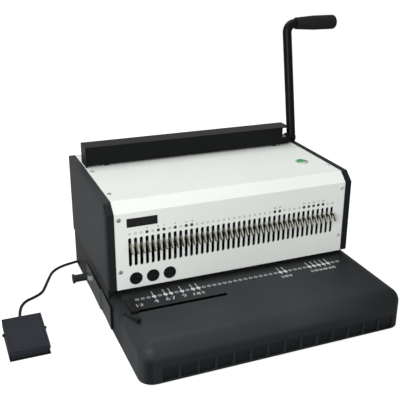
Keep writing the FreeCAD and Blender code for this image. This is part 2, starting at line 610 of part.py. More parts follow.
inlet_body = box("inlet_body", "inlet_x - inlet_width/2", "rear_reach - inlet_depth",
                 "inlet_z - inlet_height/2", "inlet_width", "inlet_depth", "inlet_height")
inlet_face = box("inlet_face", "inlet_x - inlet_width/2 - 12", "rear_reach",
                 "inlet_z - inlet_height/2 - 4", "inlet_width + 24", "inlet_flange", "inlet_height + 8")
inlet_cavity = box("inlet_cavity", "inlet_x - inlet_width/2 + inlet_wall",
                   "rear_reach + inlet_flange - 17", "inlet_z - inlet_height/2 + inlet_wall",
                   "inlet_width - 2*inlet_wall", "18", "inlet_height - 2*inlet_wall")
blades = [box("blade_%d" % i, "inlet_x + %s - 1" % across, "rear_reach + inlet_flange - 17.5",
              "inlet_z + %s - 2" % up, "2", "13", "4")
          for i, (across, up) in enumerate((("(-7)", "(-2)"), ("0", "3"), ("7", "(-2)")))]
keep(fuse("inlet", cut("inlet_shell", fuse("inlet_solid", inlet_body, inlet_face), inlet_cavity),
          *blades), "power_inlet")

board = box("board", "board_left", "board_y", "board_low", "board_width", "board_thick", "board_height")
components = [
    box("transformer", "board_left + 8", "board_y - 28", "board_low + 8", "38", "28", "32"),
    box("relay_a", "board_left + 56", "board_y - 16", "board_low + 10", "16", "16", "20"),
    box("relay_b", "board_left + 76", "board_y - 16", "board_low + 10", "16", "16", "20"),
    cylinder("capacitor_a", "y", "board_left + 62", "board_y - 22", "board_low + 48", "7", "22"),
    cylinder("capacitor_b", "y", "board_left + 82", "board_y - 22", "board_low + 48", "7", "22")]
populated_board = fuse("populated_board", board, *components)
standoffs = [cylinder("standoff_%d" % i, "y", "board_left + %s" % across, "board_y + board_thick",
                      "board_low + %s" % up, "3", "rear_reach - sheet - board_y - board_thick")
             for i, (across, up) in enumerate((("5", "5"), ("board_width - 5", "5"),
                                               ("5", "board_height - 5"),
                                               ("board_width - 5", "board_height - 5")))]
keep(group("board_assembly", populated_board, *standoffs), "control_board")

# ---- punching set ------------------------------------------------------------------------------
# Square pins hang in the press beam, pass through the guide, cross the paper throat and enter the
# die. One pull holds each pin to the beam; drawn forward, it lets the pin stand still.

first_pin = "-(slot_count - 1)*slot_pitch/2"
row_length = "(slot_count - 1)*slot_pitch"
hole_size = "pin_size + 2*fit_gap"


def pin_row(body, name, top, depth):
    """A row of square pin holes, cut downwards from the height given."""
    hole = rectangle(body, name, "XY_Plane", top, "%s - (%s)/2" % (first_pin, hole_size),
                     "%s + (%s)/2" % (first_pin, hole_size), "pin_y - (%s)/2" % hole_size,
                     "pin_y + (%s)/2" % hole_size)
    feature = pocket(body, hole, depth)
    repeat(body, [feature], "X_Axis", row_length, "slot_count")


die = new_body("die_body")
die_outline = rectangle(die, "die_outline", "XY_Plane", "die_low", "-frame_inner", "frame_inner",
                        "set_front", "die_rear")
pad(die, die_outline, "base_height - die_low")
pin_row(die, "die_holes", "base_height + 1", "base_height - die_low + 2")
keep(die, "die_block")

keep(box("stop_bar", "-frame_inner", "stop_y", "base_height", "2*frame_inner", "die_rear - stop_y",
         "shell_low - base_height"), "depth_stop")

guide = new_body("guide_body")
guide_outline = rectangle(guide, "guide_outline", "XY_Plane", "shell_low", "-frame_inner",
                          "frame_inner", "set_front + sheet", "guide_rear")
pad(guide, guide_outline, "guide_top - shell_low")
pin_row(guide, "guide_holes", "guide_top + 1", "guide_top - shell_low + 2")
post_seat = cylinder("post_seat", "z", "post_x", "post_y", "guide_top - post_seat",
                     "post_radius + fit_gap", "post_seat + 1")
keep(cut("guide_cut", guide, post_seat, mirror_x("post_seat_left", post_seat)), "pin_guide")
post = cylinder("post", "z", "post_x", "post_y", "guide_top - post_seat", "post_radius",
                "post_top - guide_top + post_seat")
keep(both_sides("posts", post), "guide_posts")

coil = doc.addObject("Part::Helix", "spring_path")
coil_height = "beam_low - guide_top - spring_high - 2*fit_gap"
bind(coil, Radius="spring_radius", Height=coil_height, Pitch="(%s)/spring_turns" % coil_height)
wire_section = doc.addObject("Part::Plane", "spring_section")
bind(wire_section, Length="spring_wide", Width="spring_high")
wire_section.Placement.Rotation = FreeCAD.Rotation(Vector(1, 0, 0), 90)
place(wire_section, "spring_radius - spring_wide/2", "0", "-spring_high/2")
spring = doc.addObject("Part::Sweep", "spring")
spring.Sections = [wire_section]
spring.Spine = (coil, ["Edge1"])
spring.Solid = True
spring.Frenet = True
place(spring, "post_x", "post_y", "guide_top + spring_high/2 + fit_gap")
keep(both_sides("springs", spring), "return_springs")

beam = new_body("beam_body")
beam_outline = rectangle(beam, "beam_outline", "XY_Plane", "beam_low", "-beam_half", "beam_half",
                         "beam_front", "beam_rear")
pad(beam, beam_outline, "beam_high - beam_low")
for side_name, left, right in (("right", "lug_inner", "lug_outer"), ("left", "-lug_outer", "-lug_inner")):
    lug = rectangle(beam, "lug_" + side_name, "XY_Plane", "beam_low", left, right, "beam_rear - 1",
                    "lug_rear")
    pad(beam, lug, "beam_high - beam_low")
    bore = circle(beam, "bore_" + side_name, "XY_Plane", "beam_high + 1",
                  "post_x" if side_name == "right" else "-post_x", "post_y",
                  "post_radius + running_gap")
    pocket(beam, bore, "beam_high - beam_low + 2")
pull_way = rectangle(beam, "pull_way", "YZ_Plane", "-beam_half - 1", "beam_front - 1",
                     "pin_y + pull_bite + pull_slack - pin_size/2", "pull_z - pull_slot/2",
                     "pull_z + pull_slot/2")
pocket(beam, pull_way, "2*beam_half + 2", forwards=True)
pin_row(beam, "beam_holes", "beam_high + 1", "beam_high - beam_low + 2")
keep(beam, "punch_beam")

pins = new_body("pins_body")
pin_outline = rectangle(pins, "pin_outline", "XY_Plane", "pin_low", "%s - pin_size/2" % first_pin,
                        "%s + pin_size/2" % first_pin, "pin_y - pin_size/2", "pin_y + pin_size/2")
pin_pad = pad(pins, pin_outline, "pin_top - pin_low")
notch = rectangle(pins, "notch", "YZ_Plane", "%s - pin_size/2 - 1" % first_pin,
                  "pin_y - pin_size/2 - 1", "pin_y - pin_size/2 + pull_bite + pull_slack/2",
                  "pull_z - pull_thick/2 - pull_slack/2", "pull_z + pull_thick/2 + pull_slack/2")
notch_cut = pocket(pins, notch, "pin_size + 2", forwards=True)
repeat(pins, [pin_pad, notch_cut], "X_Axis", row_length, "slot_count")
keep(pins, "punch_pins")


def pin_pulls(label, first, count):
    """A run of pulls: tabs with a bent tip outside the cover's slots; they end in the pins' notches."""
    body = new_body(label + "_body")
    top = "pull_z + pull_thick/2"
    bottom = "pull_z - pull_thick/2"
    inner_end = "pin_y - pin_size/2 + pull_bite"
    outline = polygon(body, label + "_outline", "YZ_Plane",
                      "%s + (%s)*slot_pitch - pull_width/2" % (first_pin, first), [
                          (inner_end, bottom), (inner_end, top), ("-pull_bend", top),
                          ("-pull_reach", top + " - pull_drop"),
                          ("-pull_reach + 1.3", top + " - pull_drop - 2.2"),
                          ("-pull_bend + 0.8", bottom)])
    tab = pad(body, outline, "pull_width")
    repeat(body, [tab], "X_Axis", "(%s - 1)*slot_pitch" % count, count)
    return keep(body, label)


pin_pulls("pin_pulls_left", "0", "left_pulls")
pin_pulls("pin_pulls_middle", "left_pulls", "middle_pulls")
pin_pulls("pin_pulls_right", "left_pulls + middle_pulls", "right_pulls")

# ---- camshaft, cams and gears ------------------------------------------------------------------


def gear_face(module, teeth, backlash, phase):
    """Involute tooth outline about the origin, in the YZ plane, as a face."""
    pressure = math.radians(20)
    pitch_radius = module * teeth / 2
    base_radius = pitch_radius * math.cos(pressure)
    tip_radius = pitch_radius + module
    root_radius = pitch_radius - 1.25 * module
    half_tooth = math.pi / (2 * teeth) - backlash / (2 * pitch_radius)

    def involute(radius):
        angle = math.acos(min(1.0, base_radius / radius))
        return math.tan(angle) - angle

    def half_angle(radius):
        start = math.tan(pressure) - pressure
        return half_tooth + start - involute(max(radius, base_radius))

    def at(radius, angle):
        return Vector(0, radius * math.cos(angle), radius * math.sin(angle))

    flank_start = max(base_radius, root_radius)
    steps = 4
    radii = [flank_start + (tip_radius - flank_start) * i / steps for i in range(steps + 1)]
    edges = []
    for tooth in range(teeth):
        middle = phase + 2 * math.pi * tooth / teeth
        following = middle + 2 * math.pi / teeth
        rising = [at(r, middle - half_angle(r)) for r in radii]
        falling = [at(r, middle + half_angle(r)) for r in reversed(radii)]
        foot_in = at(root_radius, middle - half_angle(flank_start))
        foot_out = at(root_radius, middle + half_angle(flank_start))
        next_foot = at(root_radius, following - half_angle(flank_start))
        if root_radius < flank_start - 1e-6:
            edges.append(Part.LineSegment(foot_in, rising[0]).toShape())
        for flank in (rising, falling):
            curve = Part.BSplineCurve()
            curve.interpolate(flank)
            edges.append(curve.toShape())
            if flank is rising:
                edges.append(Part.Arc(rising[-1], at(tip_radius, middle), falling[0]).toShape())
        if root_radius < flank_start - 1e-6:
            edges.append(Part.LineSegment(falling[-1], foot_out).toShape())
        valley = at(root_radius, middle + math.pi / teeth)
        edges.append(Part.Arc(foot_out, valley, next_foot).toShape())
    return Part.Face(Part.Wire(edges))


def gear(name, module, teeth, backlash, phase, width, bore):
    """A spur gear whose axis is X and whose near face is at x = 0."""
    blank = gear_face(module, teeth, backlash, phase).extrude(X * width)
    if bore:
        blank = blank.cut(Part.makeCylinder(bore, width + 2, Vector(-1, 0, 0), X))
    feature = doc.addObject("Part::Feature", name)
    feature.Shape = blank
    return feature


def meshing_phase(driver_phase, driver_teeth, driven_teeth, direction):
    """Tooth phase that puts the driven gear's gap on the driver's tooth, seen along direction."""
    offset = driver_phase - direction
    return direction + math.pi - driver_teeth / driven_teeth * offset - math.pi / driven_teeth


keep(cylinder("camshaft_rod", "x", "-frame_inner - frame_plate", "cam_y", "cam_z", "camshaft_radius",
              "2*frame_inner + 2*frame_plate"), "camshaft")
bush = cut("bush", cylinder("bush_outer", "x", "frame_inner", "cam_y", "cam_z", "bush_radius - fit_gap",
                            "frame_plate"),
           cylinder("bush_bore", "x", "frame_inner - 1", "cam_y", "cam_z",
                    "camshaft_radius + running_gap", "frame_plate + 2"))
keep(both_sides("bushes", bush), "camshaft_bushes")


def cam_outline():
    """Cam whose flat follower moves evenly: its support distance grows linearly over the stroke.

    A point of the outline is support * n + slope * t, where n is the outward direction of the
    follower, t is n turned by a quarter, and slope is the support's rate of change. Past the
    stroke, a cubic brings the support back to its start.
    """
    base = val("cam_base")
    rise = val("stroke")
    lift_turn = math.radians(val("cam_turn"))
    rate = rise / lift_turn
    back_turn = 2 * math.pi - lift_turn

    def support(angle):
        if angle <= lift_turn:
            return base + rate * angle, rate
        s = (angle - lift_turn) / back_turn
        slope = rate * back_turn
        height = ((2 * s**3 - 3 * s**2 + 1) * (base + rise) + (s**3 - 2 * s**2 + s) * slope
                  + (-2 * s**3 + 3 * s**2) * base + (s**3 - s**2) * slope)
        pace = ((6 * s**2 - 6 * s) * (base + rise) + (3 * s**2 - 4 * s + 1) * slope
                + (-6 * s**2 + 6 * s) * base + (3 * s**2 - 2 * s) * slope)
        return height, pace / back_turn

    points = []
    count = 72
    for i in range(count):
        angle = 2 * math.pi * i / count
        height, pace = support(angle)
        normal = Vector(0, -math.sin(angle), -math.cos(angle))
        turned = Vector(0, -math.cos(angle), math.sin(angle))
        points.append(normal * height + turned * pace)
    curve = Part.BSplineCurve()
    curve.interpolate(points, PeriodicFlag=True)
    return Part.Face(Part.Wire([curve.toShape()]))


cam_blank = cam_outline().extrude(X * val("cam_width"))
cam_bore = Part.makeCylinder(val("camshaft_radius"), val("cam_width") + 2, Vector(-1, 0, 0), X)
cams = []
for side_name, left in (("right", "cam_inner"), ("left", "-cam_inner - cam_width")):
    cam = doc.addObject("Part::Feature", "cam_" + side_name)
    cam.Shape = cam_blank.cut(cam_bore)
    cams.append(place(cam, left, "cam_y", "cam_z"))
keep(group("cams", *cams), "punch_cams")

gear_module = val("gear_module")
cam_teeth, idler_teeth, motor_teeth = (int(val(a)) for a in ("cam_teeth", "idler_teeth", "motor_teeth"))
cam_phase = 0.0
idler_phase = meshing_phase(cam_phase, cam_teeth, idler_teeth, 0.0)
motor_phase = meshing_phase(idler_phase, idler_teeth, motor_teeth, -math.pi / 2)
idler_y = "cam_y + gear_module*(cam_teeth + idler_teeth)/2"
motor_z = "cam_z - gear_module*(idler_teeth + motor_teeth)/2"
backlash = val("gear_backlash")
width = val("gear_width")
cam_gear = gear("cam_wheel", gear_module, cam_teeth, backlash, cam_phase, width, val("camshaft_radius"))
keep(place(cam_gear, "gear_x", "cam_y", "cam_z"), "cam_gear")
idler = gear("idler_wheel", gear_module, idler_teeth, backlash, idler_phase, width,
             val("idler_bore") + val("running_gap"))
keep(place(idler, "gear_x", idler_y, "cam_z"), "idler_gear")
pinion = gear("pinion_wheel", gear_module, motor_teeth, backlash, motor_phase, width, 0)
place(pinion, "gear_x", idler_y, motor_z)
pinion_shaft = cylinder("pinion_shaft", "x", "plate_x - 6", idler_y, motor_z, "motor_shaft",
                        "gear_x + gear_width - plate_x + 6")
keep(fuse("pinion_and_shaft", pinion, pinion_shaft), "motor_pinion")
idler_stud = cylinder("idler_stud", "x", "plate_x", idler_y, "cam_z", "idler_bore",
                      "frame_inner + frame_plate - plate_x")

gear_plate = box("gear_plate_blank", "plate_x", "plate_front", "plate_low", "plate_thick",
                 "plate_rear - plate_front", "plate_high - plate_low")
motor_opening = cylinder("motor_opening", "x", "plate_x - 1", idler_y, motor_z, "motor_shaft + 1",
                         "plate_thick + 2")
pillars = [cylinder("pillar_%d" % i, "x", "plate_x + plate_thick", across, up, "pillar_radius",
                    "frame_inner - plate_x - plate_thick")
           for i, (across, up) in enumerate((
               ("plate_front + pillar_inset", "plate_low + pillar_inset"),
               ("plate_rear - pillar_inset", "plate_low + pillar_inset"),
               ("plate_front + pillar_inset + 2", "plate_high - pillar_radius"),
               ("plate_rear - pillar_inset", "plate_high - pillar_radius")))]
keep(cut("gear_plate_cut", fuse("gear_plate_solid", gear_plate, idler_stud, *pillars), motor_opening),
     "gear_plate")

gearbox = box("gearbox_block", "plate_x - gearbox_length", "%s - gearbox_side/2" % idler_y,
              "%s - gearbox_side/2" % motor_z, "gearbox_length", "gearbox_side", "gearbox_side")
shaft_hole = cylinder("shaft_hole", "x", "plate_x - 6.5", idler_y, motor_z,
                      "motor_shaft + running_gap", "8")
motor_x = "plate_x - gearbox_length - motor_length"
motor_can = cylinder("motor_can", "x", motor_x, idler_y, motor_z, "motor_radius", "motor_length")
motor_cap = cylinder("motor_cap", "x", "%s - 6" % motor_x, idler_y, motor_z, "motor_radius/2", "8")
keep(cut("gear_motor_cut", fuse("gear_motor_solid", gearbox, motor_can, motor_cap), shaft_hole),
     "gear_motor")

# ---- wire closer -------------------------------------------------------------------------------
# The handle turns a shaft under the canopy. Two pinions on the shaft push racks rearwards, and
# the jaw on the racks closes the wire against the fixed jaw.

canopy = new_body("canopy_body")
canopy_outline = polygon(canopy, "canopy_outline", "YZ_Plane", "canopy_left", [
    ("canopy_front", "canopy_low"), ("canopy_front + sheet", "canopy_low"),
    ("canopy_front + sheet", "canopy_high - sheet"), ("canopy_rear", "canopy_high - sheet"),
    ("canopy_rear", "canopy_high"), ("canopy_front", "canopy_high")])
pad(canopy, canopy_outline, "canopy_right - canopy_left")
window = rectangle(canopy, "canopy_window", "XZ_Plane", "-canopy_front + 1", "canopy_window",
                   "canopy_right + 1", "canopy_low + window_rise", "canopy_high - sheet")
pocket(canopy, window, "sheet + 2")
canopy_end = rectangle(canopy, "canopy_end", "YZ_Plane", "canopy_left", "canopy_front", "canopy_rear",
                       "shell_top + canopy_foot", "canopy_high")
pad(canopy, canopy_end, "sheet")
keep(canopy, "closer_canopy")

keep(cylinder("closer_rod", "x", "bracket_left - bracket_thick", "closer_y", "closer_z", "closer_shaft",
              "hub_right - bracket_left + bracket_thick"), "closer_shaft")


def closer_bracket(name, left):
    plate = box(name + "_plate", left, "closer_y - bracket_depth/2", "shell_top", "bracket_thick",
                "bracket_depth", "bracket_height")
    rise = box(name + "_rise", left, "canopy_front + sheet", "canopy_low", "bracket_thick",
               "closer_y - bracket_depth/2 - canopy_front", "canopy_high - sheet - canopy_low")
    bore = cylinder(name + "_bore", "x", "%s - 1" % left, "closer_y", "closer_z",
                    "closer_shaft + running_gap", "bracket_thick + 2")
    return cut(name, fuse(name + "_solid", plate, rise), bore)


keep(group("brackets", closer_bracket("bracket_a", "bracket_left - bracket_thick"),
           closer_bracket("bracket_b", "bracket_right")), "closer_brackets")

closer_module = val("closer_module")
closer_teeth = int(val("closer_teeth"))
closer_backlash = val("closer_backlash")
pinions = []
for side_name, left in (("right", "rack_x - rack_width/2"), ("left", "-rack_x - rack_width/2")):
    wheel = gear("closer_wheel_" + side_name, closer_module, closer_teeth, closer_backlash,
                 -math.pi / 2, val("rack_width"), val("closer_shaft"))
    pinions.append(place(wheel, left, "closer_y", "closer_z"))
keep(group("pinions", *pinions), "closer_pinions")


def rack_face():
    """Rack profile in the YZ plane; its gap lies straight under the pinion's centre."""
    pitch = math.pi * closer_module
    line = val("closer_z") - closer_module * closer_teeth / 2
    slant = math.tan(math.radians(20))
    half = pitch / 4 - closer_backlash / 2
    front = val("rack_front")
    back = val("jaw_front")
    low = val("rack_low")
    root = line - 1.25 * closer_module
    tip = line + closer_module
    points = [Vector(0, front, low), Vector(0, front, root)]
    first = math.ceil((front + pitch / 2 - val("closer_y")) / pitch - 0.5)
    middle = val("closer_y") + (first + 0.5) * pitch
    while middle + pitch / 2 < back:
        foot = half + 1.25 * closer_module * slant
        crest = half - closer_module * slant
        points += [Vector(0, middle - foot, root), Vector(0, middle - crest, tip),
                   Vector(0, middle + crest, tip), Vector(0, middle + foot, root)]
        middle += pitch
    points += [Vector(0, back, root), Vector(0, back, low), Vector(0, front, low)]
    return Part.Face(Part.makePolygon(points))


rack_solid = rack_face().extrude(X * val("rack_width"))
racks = []
for side_name, left in (("right", "rack_x - rack_width/2"), ("left", "-rack_x - rack_width/2")):
    rack = doc.addObject("Part::Feature", "rack_" + side_name)
    rack.Shape = rack_solid
    racks.append(place(rack, left, "0", "0"))
keep(group("racks", *racks), "closer_racks")
keep(box("moving_jaw", "-jaw_half", "jaw_front", "jaw_low", "2*jaw_half", "jaw_thick",
         "jaw_high - jaw_low"), "closing_jaw")
keep(box("still_jaw", "-jaw_half", "fixed_jaw_front", "jaw_low", "2*jaw_half",
         "rear_reach - sheet - fixed_jaw_front", "jaw_high - jaw_low"), "fixed_jaw")

guide_bar = box("guide_bar", "-frame_inner", "guide_bar_front", "guide_bar_low", "2*frame_inner",
                "guide_bar_depth", "jaw_low - guide_bar_low")
rack_block = box("rack_block", "rack_x - rack_width/2 - slide_gap - cheek", "guide_bar_front",
                 "jaw_low - 1", "rack_width + 2*slide_gap + 2*cheek", "guide_bar_depth",
                 "rack_low + 5 - jaw_low")
rack_way = box("rack_way", "rack_x - rack_width/2 - slide_gap", "guide_bar_front - 1",
               "rack_low - slide_gap", "rack_width + 2*slide_gap", "guide_bar_depth + 2", "10")
rack_guide = cut("rack_guide", rack_block, rack_way)
keep(fuse("guide_bar_solid", guide_bar, rack_guide, mirror_x("rack_guide_left", rack_guide)),
     "rack_guides")

# ---- handle ------------------------------------------------------------------------------------
# The tube leans rearwards from the hub, then bends to the right into the grip.

hub = cut("hub_cut",
          cylinder("hub_round", "x", "hub_left", "closer_y", "closer_z", "hub_radius",
                   "hub_right - hub_left"),
          cylinder("hub_bore", "x", "hub_left - 1", "closer_y", "closer_z", "closer_shaft",
                   "hub_right - hub_left + 2"))
keep(hub, "handle_hub")


def bent_tube(radius):
    """A round bar about the bent centre line of the handle, in the XZ plane from the origin."""
    height = val("handle_height")
    bend = val("handle_bend")
    reach = val("handle_reach")
    rise = Part.LineSegment(Vector(0, 0, 0), Vector(0, 0, height - bend)).toShape()
    corner = Vector(bend, 0, height - bend)
    middle = corner + Vector(-bend * math.cos(math.pi / 4), 0, bend * math.sin(math.pi / 4))
    turn = Part.Arc(Vector(0, 0, height - bend), middle, Vector(bend, 0, height)).toShape()
    out = Part.LineSegment(Vector(bend, 0, height), Vector(reach, 0, height)).toShape()
    section = Part.Wire([Part.Circle(Vector(0, 0, 0), Z, radius).toShape()])
    return Part.Wire([rise, turn, out]).makePipeShell([section], True, False)


lean = FreeCAD.Rotation(X, -val("handle_lean"))
tube_shape = bent_tube(val("handle_radius")).cut(bent_tube(val("handle_radius") - val("handle_wall")))
tube_blank = doc.addObject("Part::Feature", "tube_blank")
tube_blank.Shape = tube_shape
tube_blank.Placement = FreeCAD.Placement(Vector(0, 0, 0), lean)
place(tube_blank, "handle_x", "closer_y", "closer_z")
saddle = cylinder("saddle", "x", "hub_left - 10", "closer_y", "closer_z", "hub_radius",
                  "hub_right - hub_left + 20")
keep(cut("tube_cut", tube_blank, saddle), "handle_tube")

grip_barrel = cylinder("grip_barrel", "x", "grip_taper", "0", "0", "grip_radius",
                       "grip_length - grip_taper")
grip_nose = doc.addObject("Part::Fillet", "grip_nose")
grip_nose.Base = grip_barrel
doc.recompute()
outer_end = val("grip_length")
grip_nose.Edges = [(i, 6.0, 6.0) for i, edge in enumerate(grip_barrel.Shape.Edges, start=1)
                   if abs(edge.BoundBox.XMin - outer_end) < 1e-3]
grip_cone = cone("grip_cone", "x", "0", "0", "0", "grip_neck", "grip_radius", "grip_taper")
grip_bore = cylinder("grip_bore", "x", "-1", "0", "0", "handle_radius",
                     "handle_reach - grip_start + 1")
grip = cut("grip_cut", fuse("grip_solid", grip_cone, grip_nose), grip_bore)
grip.Placement.Rotation = lean
bind(grip, Placement__Base__x="handle_x + grip_start",
     Placement__Base__y="closer_y + handle_height*sin(handle_lean*1deg)",
     Placement__Base__z="closer_z + handle_height*cos(handle_lean*1deg)")
keep(grip, "handle_grip")

# ---- switch, plaque and discs ------------------------------------------------------------------

switch_cup = cut("switch_cup",
                 fuse("switch_solid",
                      cylinder("bezel", "z", "switch_x", "switch_y", "shell_top", "bezel_radius",
                               "bezel_height"),
                      cylinder("switch_barrel", "z", "switch_x", "switch_y", "shell_top - switch_depth",
                               "switch_radius", "switch_depth")),
                 cylinder("switch_well", "z", "switch_x", "switch_y", "shell_top - switch_depth/2",
                          "switch_radius - 1", "switch_depth"))
keep(switch_cup, "switch_bezel")


def rocker_shape():
    """A round rocker with two shallow sloping faces; its far half stands up at rest."""
    radius = val("switch_radius") - 1.6
    tilt = 7.0
    blank = Part.makeCylinder(radius, 5.0, Vector(0, 0, -2.0))
    lid_side = 3*radius
    for turn in (tilt, -tilt):
        lid = Part.makeBox(lid_side, lid_side, lid_side,
                           Vector(-lid_side/2, 0 if turn > 0 else -lid_side, 1.2))
        lid.rotate(Vector(0, 0, 1.2), X, turn)
        blank = blank.cut(lid)
    blank.rotate(Vector(0, 0, 0), X, tilt)
    return blank


rocker = doc.addObject("Part::Feature", "rocker")
rocker.Shape = rocker_shape()
keep(place(rocker, "switch_x", "switch_y", "shell_top + 0.6"), "switch_rocker")

keep(box("plaque", "plate_left", "-plaque_thick", "plate_bottom", "plate_width", "plaque_thick",
         "plate_tall"), "blank_plaque")
discs = [cylinder("disc_%d" % i, "y", "disc_first + %d*disc_pitch" % i, "-plaque_thick", "disc_z",
                  "disc_radius", "plaque_thick") for i in range(3)]
keep(group("discs", *discs), "front_discs")

# ---- chip drawer -------------------------------------------------------------------------------

# The drawer's face has two shallow wedges as finger grips. A knob and a round catch stand out of it.

drawer_floor = "foot_height + floor_sheet + drawer_gap"
face_x = "-base_width/2 + face_inset"
bin_outer = box("bin_outer", face_x, "drawer_front", drawer_floor,
                "drawer_end + base_width/2 - face_inset", "drawer_rear - drawer_front",
                "drawer_top - (%s)" % drawer_floor)
bin_hollow = box("bin_hollow", face_x, "drawer_front + drawer_sheet",
                 "%s + drawer_sheet" % drawer_floor,
                 "drawer_end + base_width/2 - face_inset - drawer_sheet",
                 "drawer_rear - drawer_front - 2*drawer_sheet", "drawer_top")
bin_face = new_body("bin_face_body")
bin_face_outline = polygon(bin_face, "bin_face_outline", "XY_Plane", drawer_floor, [
    (face_x, "face_front"), (face_x, "face_rear"),
    (face_x + " - face_thin", "face_rear"), (face_x + " - face_thick", "face_split + face_step"),
    (face_x + " - face_thin", "face_split"), (face_x + " - face_thick", "face_front")])
pad(bin_face, bin_face_outline, "face_top - (%s)" % drawer_floor)
knob_start = "-base_width/2 - knob_seat"
knob_hole = cylinder("knob_hole", "x", knob_start + " - 2", "knob_y", "knob_z", "2.0",
                     "knob_seat + face_inset + 4")
catch_x = "-base_width/2 - catch_out"
catch_hole = cylinder("catch_hole", "z", catch_x, "catch_y", "catch_low - drawer_gap",
                      "catch_radius + fit_gap", "catch_top - catch_low + 2*drawer_gap")
keep(cut("drawer_cut", fuse("drawer_solid", cut("bin", bin_outer, bin_hollow), bin_face), knob_hole,
         catch_hole), "chip_drawer")
knob_x = "%s - knob_length" % knob_start
knob = fuse("knob",
            cylinder("knob_stud", "x", knob_start, "knob_y", "knob_z", "1.95",
                     "knob_seat + face_inset"),
            cylinder("knob_stem", "x", knob_x, "knob_y", "knob_z", "knob_neck", "knob_length"),
            cylinder("knob_rim", "x", knob_x, "knob_y", "knob_z", "knob_flange",
                     "knob_flange_length"))
catch = cylinder("catch", "z", catch_x, "catch_y", "catch_low", "catch_radius",
                 "catch_top - catch_low")
keep(group("knob_and_catch", knob, catch), "drawer_knob")

# ---- edge stop and its lock lever --------------------------------------------------------------

stop = new_body("stop_body")
stop_outline = rectangle(stop, "stop_outline", "XY_Plane", "base_height + stop_gap", "stop_left",
                         "stop_left + stop_width", "stop_near", "stop_far")
pad(stop, stop_outline, "stop_height")
stop_x = val("stop_left")
soften(stop, "stop_corners", "stop_width/2",
       lambda edge: runs_along(edge, Z) and abs(edge.CenterOfMass.x - stop_x) < 1e-6)
tongue_left = "stop_left + stop_width/2 - tongue_length/2"
tongue = rectangle(stop, "tongue", "XY_Plane", "base_height - tongue_depth", tongue_left,
                   "%s + tongue_length" % tongue_left, "track_y - track_width/2 + stop_gap",
                   "track_y + track_width/2 - stop_gap")
pad(stop, tongue, "tongue_depth + stop_gap + 1")
keep(stop, "edge_stop")

lever_arm = box("lever_arm", "0", "-lever_width/2", "0", "lever_length", "lever_width", "lever_height")
lever_arm.Placement.Rotation = FreeCAD.Rotation(Z, val("lever_angle"))
turn = "lever_angle*1deg"
bind(lever_arm, Placement__Base__x="lever_x + lever_width/2*sin(%s)" % turn,
     Placement__Base__y="lever_y - lever_width/2*cos(%s)" % turn,
     Placement__Base__z="base_height + stop_gap")
keep(fuse("lever", lever_arm,
          cylinder("lever_peg_round", "z", "lever_x", "lever_y", "base_height + stop_gap", "lever_peg",
                   "lever_height + 3"),
          cylinder("lever_pin", "z", "lever_x", "lever_y", "base_height - 2*base_wall", "lever_pivot",
                   "2*base_wall + stop_gap + 1")), "stop_lock_lever")

# ---- foot pedal --------------------------------------------------------------------------------

pedal_left = "pedal_x - pedal_width/2"
keep(box("mat", pedal_left, "pedal_front", "0", "pedal_width", "pedal_rear - pedal_front", "pedal_mat"),
     "pedal_mat")
case_left = "%s + pedal_inset" % pedal_left
case_width = "pedal_width - 2*pedal_inset"
case_depth = "pedal_rear - pedal_front - 2*pedal_inset"
case = box("pedal_case_block", case_left, "pedal_front + pedal_inset", "pedal_mat", case_width, case_depth,
           "pedal_box_top - pedal_mat")
case_hollow = box("pedal_case_hollow", "%s + pedal_wall" % case_left,
                  "pedal_front + pedal_inset + pedal_wall", "pedal_mat + pedal_wall",
                  "%s - 2*pedal_wall" % case_width, "%s - 2*pedal_wall" % case_depth, "pedal_box_top")


def pedal_ear(name, left):
    return box(name, left, "hinge_y - ear_depth/2", "pedal_mat", "ear_width", "ear_depth",
               "hinge_z + hinge_radius + 2 - pedal_mat")


ears = (pedal_ear("ear_left", case_left),
        pedal_ear("ear_right", "%s + %s - ear_width" % (case_left, case_width)))
switch_block = box("pedal_switch_block", "pedal_x - 10", "-8", "pedal_mat + pedal_wall", "20", "10", "5")
switch_button = cylinder("pedal_switch_button", "z", "pedal_x", "-3", "pedal_mat + pedal_wall + 4", "1.5",
                         "5.6")
ear_bore = cylinder("ear_bore", "x", "%s - 1" % case_left, "hinge_y", "hinge_z", "hinge_radius + fit_gap",
                    "%s + 2" % case_width)
pedal_shell = cut("pedal_case_shell", case, case_hollow)
keep(cut("pedal_case_cut", fuse("pedal_case_solid", pedal_shell, *ears, switch_block, switch_button),
         ear_bore), "pedal_case")

tread = new_body("tread_body")
tread_outline = polygon(tread, "tread_outline", "YZ_Plane", pedal_left, [
    ("pedal_front", "tread_skirt"), ("pedal_rear", "tread_skirt + 4"),
    ("pedal_rear", "tread_rear_z"), ("pedal_front", "tread_front_z")])
pad(tread, tread_outline, "pedal_width")
tread_hollow = polygon(tread, "tread_hollow", "YZ_Plane", "%s + pedal_wall" % pedal_left, [
    ("pedal_front + pedal_wall", "0"), ("pedal_rear - pedal_wall", "0"),
    ("pedal_rear - pedal_wall", "tread_rear_z - pedal_wall - 0.3"),
    ("pedal_front + pedal_wall", "tread_front_z - pedal_wall + 0.3")])
pocket(tread, tread_hollow, "pedal_width - 2*pedal_wall", forwards=True)
tread_bore = circle(tread, "tread_bore", "YZ_Plane", "%s - 1" % pedal_left, "hinge_y", "hinge_z",
                    "hinge_radius + running_gap")
pocket(tread, tread_bore, "pedal_width + 2", forwards=True)
keep(tread, "pedal_tread")
keep(cylinder("hinge_pin", "x", "%s - hinge_overhang" % pedal_left, "hinge_y", "hinge_z", "hinge_radius",
              "pedal_width + 2*hinge_overhang"), "pedal_pin")

# ---- pedal cord --------------------------------------------------------------------------------
# The lead leaves the machine's rear through a strain relief, is wound into a coil behind the
# machine and runs over the table to the pedal. Points are chosen by hand along its centre line.

